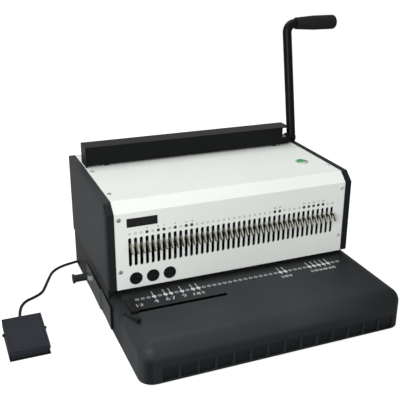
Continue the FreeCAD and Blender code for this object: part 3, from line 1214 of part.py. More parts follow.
gland_tail = "rear_reach + 2"
relief = fuse("relief_solid",
              cylinder("relief_plug", "y", "gland_x", "rear_reach - base_wall", "gland_z",
                       "gland_radius - fit_gap", "base_wall"),
              cylinder("relief_collar", "y", "gland_x", "rear_reach", "gland_z", "gland_radius + 2.5", "2"),
              cone("relief_taper", "y", "gland_x", gland_tail, "gland_z", "gland_radius - 0.5",
                   "cord_radius + 0.8", "gland_length - 2"))
keep(relief, "cord_relief")

RELIEF_END = val("rear_reach") + val("gland_length")
PEDAL_BACK = val("pedal_rear") - val("pedal_inset")
LEAD_POINTS = [
    (-95.0, RELIEF_END, 18.0), (-95.0, 268.0, 18.0), (-93.8, 278.0, 14.6), (-91.5, 287.5, 9.8),
    (-89.6, 295.5, 7.0)]
CORD_POINTS = [
    (-71.0, 266.6, 2.4), (-100.0, 263.5, 2.4), (-132.0, 258.0, 2.4), (-164.0, 249.5, 2.4),
    (-197.0, 242.5, 2.4), (-226.0, 233.5, 2.4), (-242.5, 219.0, 2.4), (-252.5, 197.0, 2.4),
    (-262.0, 173.0, 2.4), (-270.5, 152.5, 2.4), (-284.5, 141.5, 2.4), (-300.0, 134.0, 2.4),
    (-309.0, 119.5, 2.4), (-313.5, 102.0, 2.4), (-316.0, 84.0, 2.8), (-317.0, 66.5, 5.6),
    (-317.0, PEDAL_BACK, 5.6)]


def cord_wire(points, label):
    """Straight runs joined by tangent arcs, each as large as its two runs allow."""
    corners = [Vector(*p) for p in points]
    edges = []
    radii = []
    start = corners[0]
    for before, corner, after in zip(corners, corners[1:], corners[2:]):
        run_in = corner - before
        run_out = after - corner
        shorter = min(run_in.Length, run_out.Length)
        into = Vector(run_in).normalize()
        out = Vector(run_out).normalize()
        turn = into.getAngle(out)
        reach = 0.45 * shorter
        radii.append(reach / math.tan(turn / 2))
        first = corner - into * reach
        last = corner + out * reach
        bisector = (out - into).normalize()
        centre = corner + bisector * (radii[-1] / math.cos(turn / 2))
        middle = centre - bisector * radii[-1]
        edges.append(Part.LineSegment(start, first).toShape())
        edges.append(Part.Arc(first, middle, last).toShape())
        start = last
    edges.append(Part.LineSegment(start, corners[-1]).toShape())
    wire = Part.Wire(edges)
    print("%s: length %.1f mm, smallest radius %.1f mm" % (label, wire.Length, min(radii)))
    return wire


def cord_tube(label, points):
    radius = val("cord_radius")
    wire = cord_wire(points, label)
    direction = Vector(*points[1]) - Vector(*points[0])
    section = Part.Wire([Part.Circle(Vector(*points[0]), direction, radius).toShape()])
    solid = wire.makePipeShell([section], True, False)
    expected = math.pi * radius**2 * wire.Length
    if abs(solid.Volume - expected) > 0.01 * expected:
        raise RuntimeError(label + " has a wrong volume")
    feature = doc.addObject("Part::Feature", label + "_tube")
    feature.Shape = solid
    return keep(feature, label)


cord_tube("cord_lead", LEAD_POINTS)
cord_tube("pedal_cord", CORD_POINTS)
coil_ring = cut("coil_ring",
                cylinder("coil_outer_round", "z", "coil_x", "coil_y", "0", "coil_outer", "coil_height"),
                cylinder("coil_inner_round", "z", "coil_x", "coil_y", "-1", "coil_inner",
                         "coil_height + 2"))
keep(coil_ring, "cord_coil")

# ---- check and write ---------------------------------------------------------------------------

doc.recompute()
for item in doc.Objects:
    if "Invalid" in item.State or "Error" in item.State:
        raise RuntimeError("failed object: " + item.Label)
for item in NODES:
    if item.Shape.isNull() or not item.Shape.isValid():
        raise RuntimeError("bad shape: " + item.Label)

os.makedirs("parts", exist_ok=True)
for item in NODES:
    item.Shape.exportStep("parts/%s.step" % item.Label)
print("%d sub-parts written" % len(NODES))
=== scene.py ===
# %% [markdown]
# # A desk punch for wire binding
#
# The machine is a dark moulded table with a white steel hood behind it. Forty punching pins stand behind
# forty slots, each with a small brass pull. A lever at the right closes the wire, and a foot pedal on a thin
# lead starts the stroke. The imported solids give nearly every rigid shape, so this script adds finishes,
# printed marks, a few pieces with finer detail and the flexible lead, and sets up the studio.

# %% Load the frame
import json

import bpy
import numpy as np
from mathutils import Matrix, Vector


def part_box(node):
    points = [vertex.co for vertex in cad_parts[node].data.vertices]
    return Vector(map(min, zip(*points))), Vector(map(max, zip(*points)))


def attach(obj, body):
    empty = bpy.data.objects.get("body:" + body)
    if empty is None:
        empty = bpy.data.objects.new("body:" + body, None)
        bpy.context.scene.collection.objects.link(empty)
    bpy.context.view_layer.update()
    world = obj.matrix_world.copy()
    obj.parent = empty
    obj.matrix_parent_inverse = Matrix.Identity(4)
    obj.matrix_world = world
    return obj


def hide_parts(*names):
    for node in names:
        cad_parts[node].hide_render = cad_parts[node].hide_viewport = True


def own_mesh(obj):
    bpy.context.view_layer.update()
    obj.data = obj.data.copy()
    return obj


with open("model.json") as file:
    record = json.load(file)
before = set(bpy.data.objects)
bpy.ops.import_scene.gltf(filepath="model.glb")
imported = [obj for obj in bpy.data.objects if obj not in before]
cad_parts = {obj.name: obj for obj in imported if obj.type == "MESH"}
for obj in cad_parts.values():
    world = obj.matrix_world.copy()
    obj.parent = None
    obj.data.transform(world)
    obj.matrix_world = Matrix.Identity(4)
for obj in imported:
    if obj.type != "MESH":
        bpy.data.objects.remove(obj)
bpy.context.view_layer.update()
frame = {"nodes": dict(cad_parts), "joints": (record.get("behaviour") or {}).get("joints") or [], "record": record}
nodes = frame["nodes"]
scene = bpy.context.scene
MM = 0.001

# %% [markdown]
# ## The camera
#
# A lens is a position, three directions and a width of view. The directions are written as unit vectors:
# right, up and back. Together they are the columns of the camera's rotation. A small lens shift places the
# machine in the frame without turning the camera.

# %% Camera
CAMERA_PLACE = (-0.40538, -0.87202, 0.55856)
CAMERA_RIGHT = (0.91919, -0.39355, 0.01466)
CAMERA_UP = (0.13126, 0.34125, 0.93076)
CAMERA_BACK = (-0.37131, -0.85362, 0.36533)
SENSOR_MM = 36.0
LENS_MM = 63.07
SHIFT = (-0.0528, -0.0025)


def placed(right, up, back, place):
    """The 4 x 4 matrix whose columns are three directions and a place."""
    placing = np.eye(4)
    placing[:3] = np.column_stack([right, up, back, place])
    return Matrix(placing.tolist())


camera_data = bpy.data.cameras.new("studio_camera")
camera_data.sensor_width = SENSOR_MM
camera_data.lens = LENS_MM
camera_data.shift_x, camera_data.shift_y = SHIFT
camera = bpy.data.objects.new("studio_camera", camera_data)
camera.matrix_world = placed(CAMERA_RIGHT, CAMERA_UP, CAMERA_BACK, CAMERA_PLACE)
scene.collection.objects.link(camera)
scene.camera = camera
scene.view_settings.view_transform = "Standard"
print("camera at", CAMERA_PLACE)

# %% [markdown]
# ## The pedal's lead
#
# A thin round cord leaves the machine's rear, is wound into a small neat coil behind it, and runs over the desk to
# the pedal at the left. A cord is one smooth line, so it is a single NURBS spline with a round bevel. The first
# and last points are listed; the coil's points come from a loop over its turns.
#
# The coil has two layers. The upper one winds inwards, one turn dips inside the others while it drops to
# the desk, and the lower one winds outwards again. So no turn ever lies in another.

# %% Lead points
LEAD_POINTS = [
    (-95.0, 258.0, 18.0), (-95.0, 268.0, 18.0), (-93.8, 278.0, 14.6), (-91.5, 287.5, 9.8),
    (-89.6, 295.5, 7.0)]
CORD_POINTS = [
    (-71.0, 266.6, 2.4), (-100.0, 263.5, 2.4), (-132.0, 258.0, 2.4), (-164.0, 249.5, 2.4),
    (-197.0, 242.5, 2.4), (-226.0, 233.5, 2.4), (-242.5, 219.0, 2.4), (-252.5, 197.0, 2.4),
    (-262.0, 173.0, 2.4), (-270.5, 152.5, 2.4), (-284.5, 141.5, 2.4), (-300.0, 134.0, 2.4),
    (-309.0, 119.5, 2.4), (-313.5, 102.0, 2.4), (-316.0, 84.0, 2.8), (-317.0, 66.5, 5.6),
    (-317.0, 49.0, 5.6)]
CORD_DIAMETER = 4.5
COIL_CENTRE = (-55.0, 298.0)
COIL_OUTER, COIL_INNER, COIL_DIP = 32.0, 18.1, 2.3
COIL_HIGH, COIL_LOW = 6.95, 2.35
TURNS_IN_LAYER = 2.875
POINTS_IN_TURN = 16


def coil_points():
    """The coil's points, clockwise from the west side to the south side.

    The radius falls evenly from outer to inner over the upper layer, dips by a sine over the one turn
    that drops from layer to layer along a smoothstep, and grows evenly back to outer.
    """
    count = int((2 * TURNS_IN_LAYER + 1) * POINTS_IN_TURN)
    turns = np.arange(1, count + 1) / POINTS_IN_TURN
    crossing = np.clip(turns - TURNS_IN_LAYER, 0, 1)
    inwards = np.clip(turns / TURNS_IN_LAYER, 0, 1)
    outwards = np.clip((turns - TURNS_IN_LAYER - 1) / TURNS_IN_LAYER, 0, 1)
    radius = (COIL_OUTER + (COIL_INNER - COIL_OUTER) * (inwards - outwards)
              - COIL_DIP * np.sin(np.pi * crossing))
    height = COIL_HIGH + (COIL_LOW - COIL_HIGH) * crossing**2 * (3 - 2 * crossing)
    angle = np.pi - 2 * np.pi * turns
    return np.stack([COIL_CENTRE[0] + radius * np.cos(angle), COIL_CENTRE[1] + radius * np.sin(angle),
                     height], 1)


route = np.concatenate([LEAD_POINTS, coil_points(), CORD_POINTS])
print("lead:", len(route), "points")


# %% Lead
def new_object(name, data, body=None):
    """Link an object, and let it ride on a body if it is part of the machine."""
    thing = bpy.data.objects.new(name, data)
    scene.collection.objects.link(thing)
    if body:
        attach(thing, body)
    return thing


# The bevel is one metre, and the radius of each point scales it down to the cord's own.
lead_curve = bpy.data.curves.new("pedal_lead", "CURVE")
lead_curve.dimensions = "3D"
lead_curve.bevel_depth = 1.0
lead_curve.bevel_resolution = 5
lead_curve.resolution_u = 6
lead_spline = lead_curve.splines.new("NURBS")
lead_spline.points.add(len(route) - 1)
lead_spline.points.foreach_set("co", np.column_stack([route * MM, np.ones(len(route))]).ravel())
lead_spline.points.foreach_set("radius", np.full(len(route), CORD_DIAMETER / 2 * MM))
lead_spline.order_u = 3
lead_spline.use_endpoint_u = True
pedal_lead = new_object("pedal_lead", lead_curve, "machine")
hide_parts("cord_lead", "pedal_cord", "cord_coil")
print("lead replaces its three solids")

# %% [markdown]
# ## Surfaces from arrays
#
# A new rigid piece is a grid of points worked out with numpy. One helper numbers the faces between
# neighbouring points of a grid, and a class collects grids and loose outlines in one mesh. Two more carry a
# profile round an axis and turn points to face the right way.


# %% Grid helpers
def grid_faces(rows, columns, wrap_rows=False, wrap_columns=False):
    """Corner numbers of the four-sided faces between neighbouring points, row by row."""
    i = np.arange(rows if wrap_rows else rows - 1)
    j = np.arange(columns if wrap_columns else columns - 1)
    i, j = (axis.ravel() for axis in np.meshgrid(i, j, indexing="ij"))
    below, beside = (i + 1) % rows, (j + 1) % columns
    return np.stack([i * columns + j, below * columns + j, below * columns + beside,
                     i * columns + beside], 1)


class Shape:
    """Points in millimetres and faces, gathered patch by patch into one mesh."""

    def __init__(self):
        self.points = []
        self.faces = []
        self.count = 0

    def add(self, points, faces):
        points = np.asarray(points, float).reshape(-1, 3)
        self.faces += [[int(corner) + self.count for corner in face] for face in faces]
        self.points.append(points)
        self.count += len(points)
        return self

    def grid(self, points, **wraps):
        return self.add(points, grid_faces(points.shape[0], points.shape[1], **wraps))

    def build(self, name, body, slot, material=None, smooth=True):
        mesh = bpy.data.meshes.new(name)
        mesh.from_pydata((np.concatenate(self.points) * MM).tolist(), [], self.faces)
        mesh.polygons.foreach_set("use_smooth", [smooth] * len(mesh.polygons))
        mesh.update()
        if material:
            mesh.materials.append(material)
        piece = new_object(name, mesh, body)
        print(name, "-", len(mesh.vertices), "points,", len(mesh.polygons), "faces")
        return piece


def turned(profile, segments):
    """A profile of (radius, height) pairs carried round the upright axis: the point at turn a and step s
    is (radius(s) cos a, radius(s) sin a, height(s))."""
    radius, height = np.asarray(profile, float).T
    turn = np.linspace(0, 2 * np.pi, segments, endpoint=False)
    return np.stack([radius[:, None] * np.cos(turn), radius[:, None] * np.sin(turn),
                     np.repeat(height[:, None], segments, 1)], 2)


def aimed(points, place, across, up, out):
    """Move points so that their x, y and z run along three given directions from a place."""
    return np.asarray(place) + points @ np.array([across, up, out], float)


# %% [markdown]
# ## Strain relief
#
# Where the lead leaves the housing, a soft sleeve keeps it from kinking. The real one is moulded with rings
# cut into it, so that it bends more easily towards its tip. Its profile is a straight taper from which a
# row of round grooves is taken, and the profile is carried round the lead's axis. It ends where the lead
# starts, so its foot is the lead's first point less its own length.

# %% Strain relief
RIGHT, REAR, TOP = np.eye(3)
RELIEF_LENGTH, COLLAR_LENGTH = 20.0, 2.0
RELIEF_FOOT = LEAD_POINTS[0] - RELIEF_LENGTH * REAR
COLLAR_RADIUS, LEAD_HOLE = 7.5, 2.4
WIDE_END, NARROW_END = 4.5, 3.05
RING_COUNT, RING_DEPTH = 6, 0.45
HIDDEN_EDGE, COLLAR_EDGE = 0.2, 0.3
SLEEVE_STEPS, SLEEVE_SEGMENTS = 61, 40

collar = [(LEAD_HOLE, 0.0), (COLLAR_RADIUS - HIDDEN_EDGE, 0.0), (COLLAR_RADIUS, COLLAR_EDGE),
          (COLLAR_RADIUS, COLLAR_LENGTH - COLLAR_EDGE), (COLLAR_RADIUS - COLLAR_EDGE, COLLAR_LENGTH)]
steps = np.linspace(0, 1, SLEEVE_STEPS)
groove = RING_DEPTH * np.clip(np.sin(2 * np.pi * RING_COUNT * steps), 0, 1)
taper = np.stack([WIDE_END + (NARROW_END - WIDE_END) * steps - groove,
                  COLLAR_LENGTH + (RELIEF_LENGTH - COLLAR_LENGTH) * steps], 1)
sleeve = turned(np.concatenate([collar, taper, [(LEAD_HOLE, RELIEF_LENGTH)]]), SLEEVE_SEGMENTS)
relief_shape = Shape().grid(aimed(sleeve, RELIEF_FOOT, RIGHT, -TOP, REAR), wrap_rows=True, wrap_columns=True)
relief_sleeve = relief_shape.build("relief_sleeve", "machine", "cord_plastic")
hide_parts("cord_relief")

# %% [markdown]
# ## Finishes as nodes
#
# Each finish is a Principled shader whose inputs are fed by nodes. One method adds any node, and a value
# that comes out of a node takes part in arithmetic, so a mask reads like a formula. Patterns follow the
# object's own coordinates, which are metres in the frame of the machine.


# %% Node helpers
class Value:
    """A node's output that takes part in arithmetic, on either side: each operator adds a Math node."""

    def __init__(self, finish, socket):
        self.finish = finish
        self.socket = socket

    def _math(self, operation, first, second):
        return self.finish.node("ShaderNodeMath", {"operation": operation}, {0: first, 1: second})

    def __add__(self, other):
        return self._math("ADD", self, other)

    def __rsub__(self, other):
        return self._math("SUBTRACT", other, self)

    def __mul__(self, other):
        return self._math("MULTIPLY", self, other)

    __radd__ = __add__
    __rmul__ = __mul__


def tone(red, green, blue):
    """A screen colour from 0 to 255 as the light values that nodes use."""
    screen = np.array((red, green, blue)) / 255
    light = np.where(screen <= 0.04045, screen / 12.92, ((screen + 0.055) / 1.055) ** 2.4)
    return (*light.tolist(), 1.0)


FINISHES = {}


class Finish:
    """A node material: plain settings of its Principled shader, and one method that adds any node."""

    def __init__(self, name, **settings):
        self.material = FINISHES[name] = bpy.data.materials.new("finish_" + name)
        self.material.use_nodes = True
        self.tree = self.material.node_tree
        self.shader = self.tree.nodes["Principled BSDF"]
        self.end = self.tree.nodes["Material Output"]
        self.place = self.node("ShaderNodeTexCoord", output="Object")
        self.set(**settings)

    def node(self, kind, settings=None, inputs=None, output=0):
        made = self.tree.nodes.new(kind)
        for key, value in (settings or {}).items():
            setattr(made, key, value)
        for key, value in (inputs or {}).items():
            self.put(made.inputs[key], value)
        return Value(self, made.outputs[output])

    def put(self, socket, value):
        if isinstance(value, Value):
            self.tree.links.new(value.socket, socket)
        else:
            socket.default_value = value

    def set(self, **settings):
        """Feed inputs by name: Base_Color is the input Base Color."""
        for key, value in settings.items():
            self.put(self.shader.inputs[key.replace("_", " ").title().replace("Ior", "IOR")], value)
        return self

    def noise(self, scale, detail=2.0, stretch=(1, 1, 1)):
        """Soft noise from 0 to 1; stretch above 1 along an axis makes it change faster there."""
        spread = self.node("ShaderNodeMapping", None, {"Vector": self.place, "Scale": stretch})
        return self.node("ShaderNodeTexNoise", None, {"Vector": spread, "Scale": scale, "Detail": detail})

    def axis(self, name):
        """One coordinate of the place, in metres."""
        return self.node("ShaderNodeSeparateXYZ", None, {"Vector": self.place}, name)

    def facing(self, name):
        """One coordinate of the surface's own direction, from -1 to 1."""
        direction = self.node("ShaderNodeTexCoord", output="Normal")
        return self.node("ShaderNodeSeparateXYZ", None, {"Vector": direction}, name)

    def rise(self, value, start, stop):
        """A smooth step: 0 below start, 1 above stop."""
        return self.node("ShaderNodeMapRange", {"interpolation_type": "SMOOTHSTEP"},
                         {"Value": value, "From Min": start, "From Max": stop})

    def between(self, value, low, high, soft=0.0002):
        """1 between two limits and 0 outside them."""
        return self.rise(value, low - soft, low) * (1 - self.rise(value, high, high + soft))

    def blend(self, factor, first, second):
        return self.node("ShaderNodeMix", {"data_type": "RGBA"}, {0: factor, 6: first, 7: second}, 2)

    def mottle(self, colour, other, scale=9.0, start=0.35, stop=0.75):
        """Two close tones that a slow noise runs into each other."""
        cloud = self.noise(scale, 3.0)
        return self.blend(self.rise(cloud, start, stop), tone(*colour), tone(*other))

    def bump(self, height, depth, strength=1.0):
        return self.node("ShaderNodeBump", None,
                         {"Height": height, "Distance": depth, "Strength": strength})


def around(noise, middle, spread):
    """A value that noise moves up and down about its middle."""
    return noise * spread + (middle - spread / 2)


print("finishes are kept by the name of their slot")

# %% [markdown]
# ## Floor and light
#
# The studio is a white sweep under large soft lamps. The main lamp hangs above the machine and a little behind it,
# so the hood's top is the palest face and its foot throws a soft shadow on the table part, which the table's
# finish deepens with painted shadow.
# The floor is lit like anything else, and a little light of its own, seen by the camera only, lifts it
# to white. The sky is white to the camera too, and dimmer to everything that it lights.

# %% Floor
FLOOR_HALF = 6.0
FLOOR_LIFT = 0.8

floor_finish = Finish("studio_white", Base_Color=(0.5, 0.5, 0.5, 1), Roughness=0.9,
                      Specular_IOR_Level=0.0)
rays = floor_finish.node("ShaderNodeLightPath", output="Is Camera Ray")
floor_glow = floor_finish.node("ShaderNodeEmission", None,
                               {"Color": (1, 1, 1, 1), "Strength": FLOOR_LIFT * rays})
floor_sum = floor_finish.node("ShaderNodeAddShader", None,
                              {0: Value(floor_finish, floor_finish.shader.outputs[0]), 1: floor_glow})
floor_finish.put(floor_finish.end.inputs["Surface"], floor_sum)

floor_mesh = bpy.data.meshes.new("studio_floor")
floor_mesh.from_pydata([(-FLOOR_HALF, -FLOOR_HALF, 0), (FLOOR_HALF, -FLOOR_HALF, 0),
                        (FLOOR_HALF, FLOOR_HALF, 0), (-FLOOR_HALF, FLOOR_HALF, 0)], [], [(0, 1, 2, 3)])
floor_mesh.materials.append(floor_finish.material)
floor = new_object("studio_floor", floor_mesh)
print("floor:", 2 * FLOOR_HALF, "m square")

# %% Sky
SKY_LEVEL = 0.4

world = bpy.data.worlds.new("studio")
scene.world = world
world.use_nodes = True
sky_tree = world.node_tree
sky_path = sky_tree.nodes.new("ShaderNodeLightPath")
sky_level = sky_tree.nodes.new("ShaderNodeMapRange")
sky_level.inputs["To Min"].default_value = SKY_LEVEL
sky_level.inputs["To Max"].default_value = 1.0
sky_tree.links.new(sky_path.outputs["Is Camera Ray"], sky_level.inputs["Value"])
sky_tree.links.new(sky_level.outputs["Result"], sky_tree.nodes["Background"].inputs["Strength"])
sky_tree.nodes["Background"].inputs["Color"].default_value = (1, 1, 1, 1)
print("sky:", SKY_LEVEL, "for all rays but the camera's")

# %% Lamps
LAMP_SIZE = 1.2


def lamp(name, place, target, power):
    """A square soft lamp that faces a target."""
    data = bpy.data.lights.new(name, "AREA")
    data.size = LAMP_SIZE
    data.energy = power
    thing = new_object(name, data)
    direction = np.asarray(target) - np.asarray(place)
    from_lamp = direction / np.linalg.norm(direction)
    side = np.cross(from_lamp, (0, 1, 0.01))
    side /= np.linalg.norm(side)
    thing.matrix_world = placed(side, np.cross(side, from_lamp), -from_lamp, place)
    print(name, "-", power, "W at", place)


lamp("main_lamp", (-0.1, 0.5, 1.6), (0.0, 0.0, 0.1), 9.7)
lamp("front_lamp", (-1.3, -1.5, 1.0), (0.0, 0.0, 0.15), 32.0)

# %% [markdown]
# ## Moulded plastics
#
# The table part, the side covers, the drawer and the pedal are injection moulded. A mould is spark eroded,
# which leaves a fine grain that scatters light, so such parts look matt. Three things make the finish: a
# broad, faint change of colour, as handling and dust leave, a grain of under a millimetre in the bump, and a
# roughness that follows the same grain.

# %% Moulded plastic
GRAIN_SCALE, GRAIN_DEPTH = 1400.0, 0.00006


def moulded(name, rough):
    """A grained plastic without its colour: the grain drives the bump and the roughness."""
    finish = Finish(name, Specular_IOR_Level=0.14)
    grain = finish.noise(GRAIN_SCALE)
    return finish.set(Roughness=around(grain, rough, 0.16), Normal=finish.bump(grain, GRAIN_DEPTH, 0.6))


for slot_name, colour, dusty, rough in (("pedal_plastic", (35, 38, 44), (41, 44, 51), 0.5),
                                        ("inlet_plastic", (14, 14, 15), (20, 20, 21), 0.42)):
    plain = moulded(slot_name, rough)
    plain.set(Base_Color=plain.mottle(colour, dusty))
print("moulded: pedal and inlet")

# %% [markdown]
# The table part carries painted shade over its own mottle. It is painted palest at its left and front and darker
# to the right, where less light falls, and a painted shadow strip lies before the throat at its left. Painted
# shadow darkens it under the hood's foot, and painted shade darkens its low front and, more so, the ribbed panels
# there, where the ribs stand out a little paler. The groove of the edge stop is painted black inside as shade.
# Each of these is a mask: a product of soft steps of the place and the direction. A step is written as where it
# starts and where it is full, and one that grows to the left or downwards takes the place with its sign turned.

# %% Table part
GROOVE_X, GROOVE_Y, GROOVE_Z = (-0.184, -0.039), (-0.0622, -0.0548), (0.050, 0.0613)
TO_RIGHT, TO_LEFT, TO_HOOD, DOWNWARDS = (0.03, 0.20), (0.03, 0.18), (-0.024, -0.004), (-0.046, -0.034)
LEFT_STRIP_Y, STRIP_SOFT, STRIP_SHARE = (-0.052, 0.001), 0.004, 0.7
PANEL_Y, FACES_FRONT = (-0.1486, -0.1480), (0.5, 0.9)

base_finish = moulded("base_plastic", 0.46)
base_x, base_y, base_z = (base_finish.axis(name) for name in "XYZ")
shade_to_right = base_finish.rise(base_x, *TO_RIGHT)
left_strip_shadow = (base_finish.rise(base_x * -1.0, *TO_LEFT)
              * base_finish.between(base_y, *LEFT_STRIP_Y, STRIP_SOFT) * STRIP_SHARE)
hood_foot_shadow = base_finish.rise(base_y, *TO_HOOD)
low_down = base_finish.rise(base_z * -1.0, *DOWNWARDS)
low_front_shade = base_finish.rise(base_finish.facing("Y") * -1.0, *FACES_FRONT) * low_down
panel_shade = low_front_shade * base_finish.rise(base_y, *PANEL_Y)
groove_shade = (base_finish.between(base_x, *GROOVE_X) * base_finish.between(base_y, *GROOVE_Y)
             * base_finish.between(base_z, *GROOVE_Z))
base_tone = base_finish.mottle((49, 53, 55), (55, 59, 61))
# Painted shade and painted shadow, laid mask by mask over the mottle.
for mask, colour in ((shade_to_right, (31, 34, 36)), (left_strip_shadow, (30, 32, 35)), (hood_foot_shadow, (24, 26, 28)),
                     (low_front_shade, (34, 37, 39)), (panel_shade, (24, 26, 28)), (groove_shade, (4, 4, 5))):
    base_tone = base_finish.blend(mask, base_tone, tone(*colour))
base_finish.set(Base_Color=base_tone)
print("table part: mottle and six masks")

# %% [markdown]
# The side covers carry a darker band along their front edge, about as wide as the bend of the hood. It is
# the part's own step in depth, which stays in shade, and a soft step along the depth paints it. The right
# cover's top and edge face away from the lamps, so they are darker. The drawer is grey plastic with a
# nearly black front.

# %% Side covers and drawer
BAND_Y, RIGHT_HALF_X, FACES = (0.010, 0.017), (0.0, 0.01), (0.6, 0.9)

side_finish = moulded("side_plastic", 0.5)
behind_band = side_finish.rise(side_finish.axis("Y"), *BAND_Y)
at_right = side_finish.rise(side_finish.axis("X"), *RIGHT_HALF_X)
right_top = at_right * side_finish.rise(side_finish.facing("Z"), *FACES)
edge_tone = side_finish.blend(at_right, tone(30, 33, 35), tone(23, 25, 28))
side_tone = side_finish.blend(behind_band, edge_tone, side_finish.mottle((53, 56, 58), (58, 61, 63)))
side_finish.set(Base_Color=side_finish.blend(right_top, side_tone, tone(28, 30, 33)))

drawer_finish = moulded("drawer_plastic", 0.45)
flat_front = drawer_finish.rise(drawer_finish.facing("X") * -1.0, *FACES)
drawer_tone = drawer_finish.blend(drawer_finish.noise(40.0, 3.0), tone(72, 74, 76), tone(84, 86, 88))
drawer_finish.set(Base_Color=drawer_finish.blend(flat_front, tone(14, 15, 16), drawer_tone))
print("side covers and drawer")

# %% [markdown]
# ## Painted sheet
#
# Powder coat melts into a skin with a very fine ripple, called orange peel. It is smoother than moulded
# plastic and a little glossy. The white hood leans slightly to green, as its paint does.

# %% Paints
RIPPLE_SCALE, RIPPLE_DEPTH = 420.0, 0.00003


def painted(name, colour, worn, rough):
    """Two close tones by slow noise, with a fine ripple in the bump and the roughness."""
    finish = Finish(name, Specular_IOR_Level=0.12)
    skin = finish.noise(RIPPLE_SCALE, 1.0)
    finish.set(Base_Color=finish.mottle(colour, worn, 6.0, 0.3, 0.8), Roughness=around(skin, rough, 0.1),
               Normal=finish.bump(skin, RIPPLE_DEPTH, 0.5))


painted("cover_paint", (240, 244, 239), (235, 239, 234), 0.38)
painted("black_paint", (13, 14, 15), (18, 19, 20), 0.34)
painted("dark_paint", (20, 21, 23), (26, 27, 29), 0.4)
painted("motor_paint", (56, 58, 62), (66, 68, 72), 0.36)
print("paints: white, black, dark and motor grey")

# %% [markdown]
# ## Metals
#
# Ground and drawn steel has fine lines along one direction. Noise that is squeezed across the lines and stretched
# along them gives that lay, and it drives the roughness and a shallow bump. The stretch tells a ground bar from a
# drawn rod and from a machined gear. The screws are zinc plated and half as metallic, and those at the right are
# painted paler than those at the left, as painted light.

# %% Metals
LINE_SCALE, LINE_DEPTH = 160.0, 0.00002
SCREW_SHADE_X = (-0.18, 0.18)
ALONG_X, ALONG_Z, EVEN = (1, 30, 30), (30, 30, 1), (6, 6, 6)


def metal(name, colour, dull, rough, stretch):
    """Metallic tone with lines whose direction the stretch gives."""
    finish = Finish(name, Metallic=1.0)
    lines = finish.noise(LINE_SCALE, 3.0, stretch)
    return finish.set(Base_Color=finish.mottle(colour, dull, 14.0, 0.4, 0.75),
                      Roughness=around(lines, rough, 0.22), Normal=finish.bump(lines, LINE_DEPTH, 0.5))


metal("plain_steel", (176, 178, 181), (150, 152, 156), 0.3, ALONG_X)
metal("dark_steel", (104, 106, 110), (84, 86, 90), 0.4, ALONG_X)
metal("zinc_steel", (196, 198, 200), (172, 175, 180), 0.36, EVEN)
# The pins stand in the slots' shade, so their steel is painted near black as painted shade.
metal("pin_steel", (22, 23, 22), (14, 15, 14), 0.4, ALONG_Z)
metal("bearing_bronze", (182, 142, 86), (150, 112, 64), 0.42, EVEN)
metal("gear_steel", (140, 142, 146), (116, 118, 122), 0.34, EVEN)
screw_finish = metal("screw_steel", (166, 170, 166), (136, 140, 138), 0.5, EVEN)
# Painted light: the screws are painted paler towards the right.
screw_painted_light = screw_finish.rise(screw_finish.axis("X"), *SCREW_SHADE_X)
screw_finish.set(Base_Color=screw_finish.blend(screw_painted_light, tone(158, 162, 158), tone(216, 219, 216)),
                 Metallic=0.5)
print("metals: seven")

# %% [markdown]
# The pulls are stamped from thin brass and go olive and dull where fingers touch them. Half metal and half
# tarnish, each carries a painted highlight as a pale streak along its right half and a painted shadow along its
# left, and its faces that turn to the left or right are painted dark as shade. The streak repeats with the slots,
# so it is the fraction of X over the pitch, which is one half in the middle of a pull.

# %% Brass pulls
SLOT_PITCH = 8.4667
STREAK_EDGE, EDGE_ON = (0.47, 0.53), (0.3, 0.6)

pull_finish = Finish("pull_metal")
tarnish = pull_finish.rise(pull_finish.noise(260.0, 3.0), 0.35, 0.7)
sideways = pull_finish.facing("X")
across_pull = pull_finish.node("ShaderNodeMath", {"operation": "FRACT"},
                               {0: pull_finish.axis("X") * (1 / (SLOT_PITCH * MM))})
# Painted highlight on the right half of each pull and painted shadow on its left, both mixed with tarnish.
streak_highlight = pull_finish.blend(tarnish, tone(240, 240, 226), tone(184, 186, 160))
streak_shadow = pull_finish.blend(tarnish, tone(134, 136, 112), tone(78, 80, 60))
flat_tone = pull_finish.blend(pull_finish.rise(across_pull, *STREAK_EDGE), streak_shadow, streak_highlight)
# Faces turned to the left or right are painted dark as shade.
pull_tone = pull_finish.blend(pull_finish.rise(sideways * sideways, *EDGE_ON), flat_tone, tone(50, 50, 38))
pull_finish.set(Base_Color=pull_tone, Metallic=0.75 - tarnish * 0.35, Roughness=0.26 + tarnish * 0.25,
                Normal=pull_finish.bump(pull_finish.noise(900.0), 0.00003, 0.5))
print("pulls: streak every", SLOT_PITCH, "mm")

# %% [markdown]
# ## Rubber, foam and gloss
#
# The grip is a foam sleeve with tiny open cells, the feet and the pedal's mat are plain rubber. Plaque and
# discs are glossy black and left bare. The lead's sheath is soft vinyl, slightly uneven.


# %% Soft and glossy finishes
def cells(name, colour, rim_light, rough, scale, depth):
    """Cell noise as pits in the bump; the colour is painted darker in the pits and paler on their rims, as painted
    shade.
    """
    finish = Finish(name, Specular_IOR_Level=0.15)
    pits = finish.node("ShaderNodeTexVoronoi", None, {"Vector": finish.place, "Scale": scale})
    # The pits are painted darker than their rims, as shade.
    finish.set(Base_Color=finish.blend(pits, tone(*colour), tone(*rim_light)), Roughness=rough,
               Normal=finish.bump(pits, depth, 0.7))


def glossy(name, rough):
    """A hard clear skin without its colour, with faint wipe marks; gives the finish and the marks."""
    finish = Finish(name, Coat_Weight=0.1, Coat_Roughness=0.12, Specular_IOR_Level=0.2)
    wipe = finish.noise(55.0, 3.0, (1, 4, 4))
    return finish.set(Roughness=wipe * 0.2 + rough, Normal=finish.bump(wipe, 0.00002, 0.3)), wipe


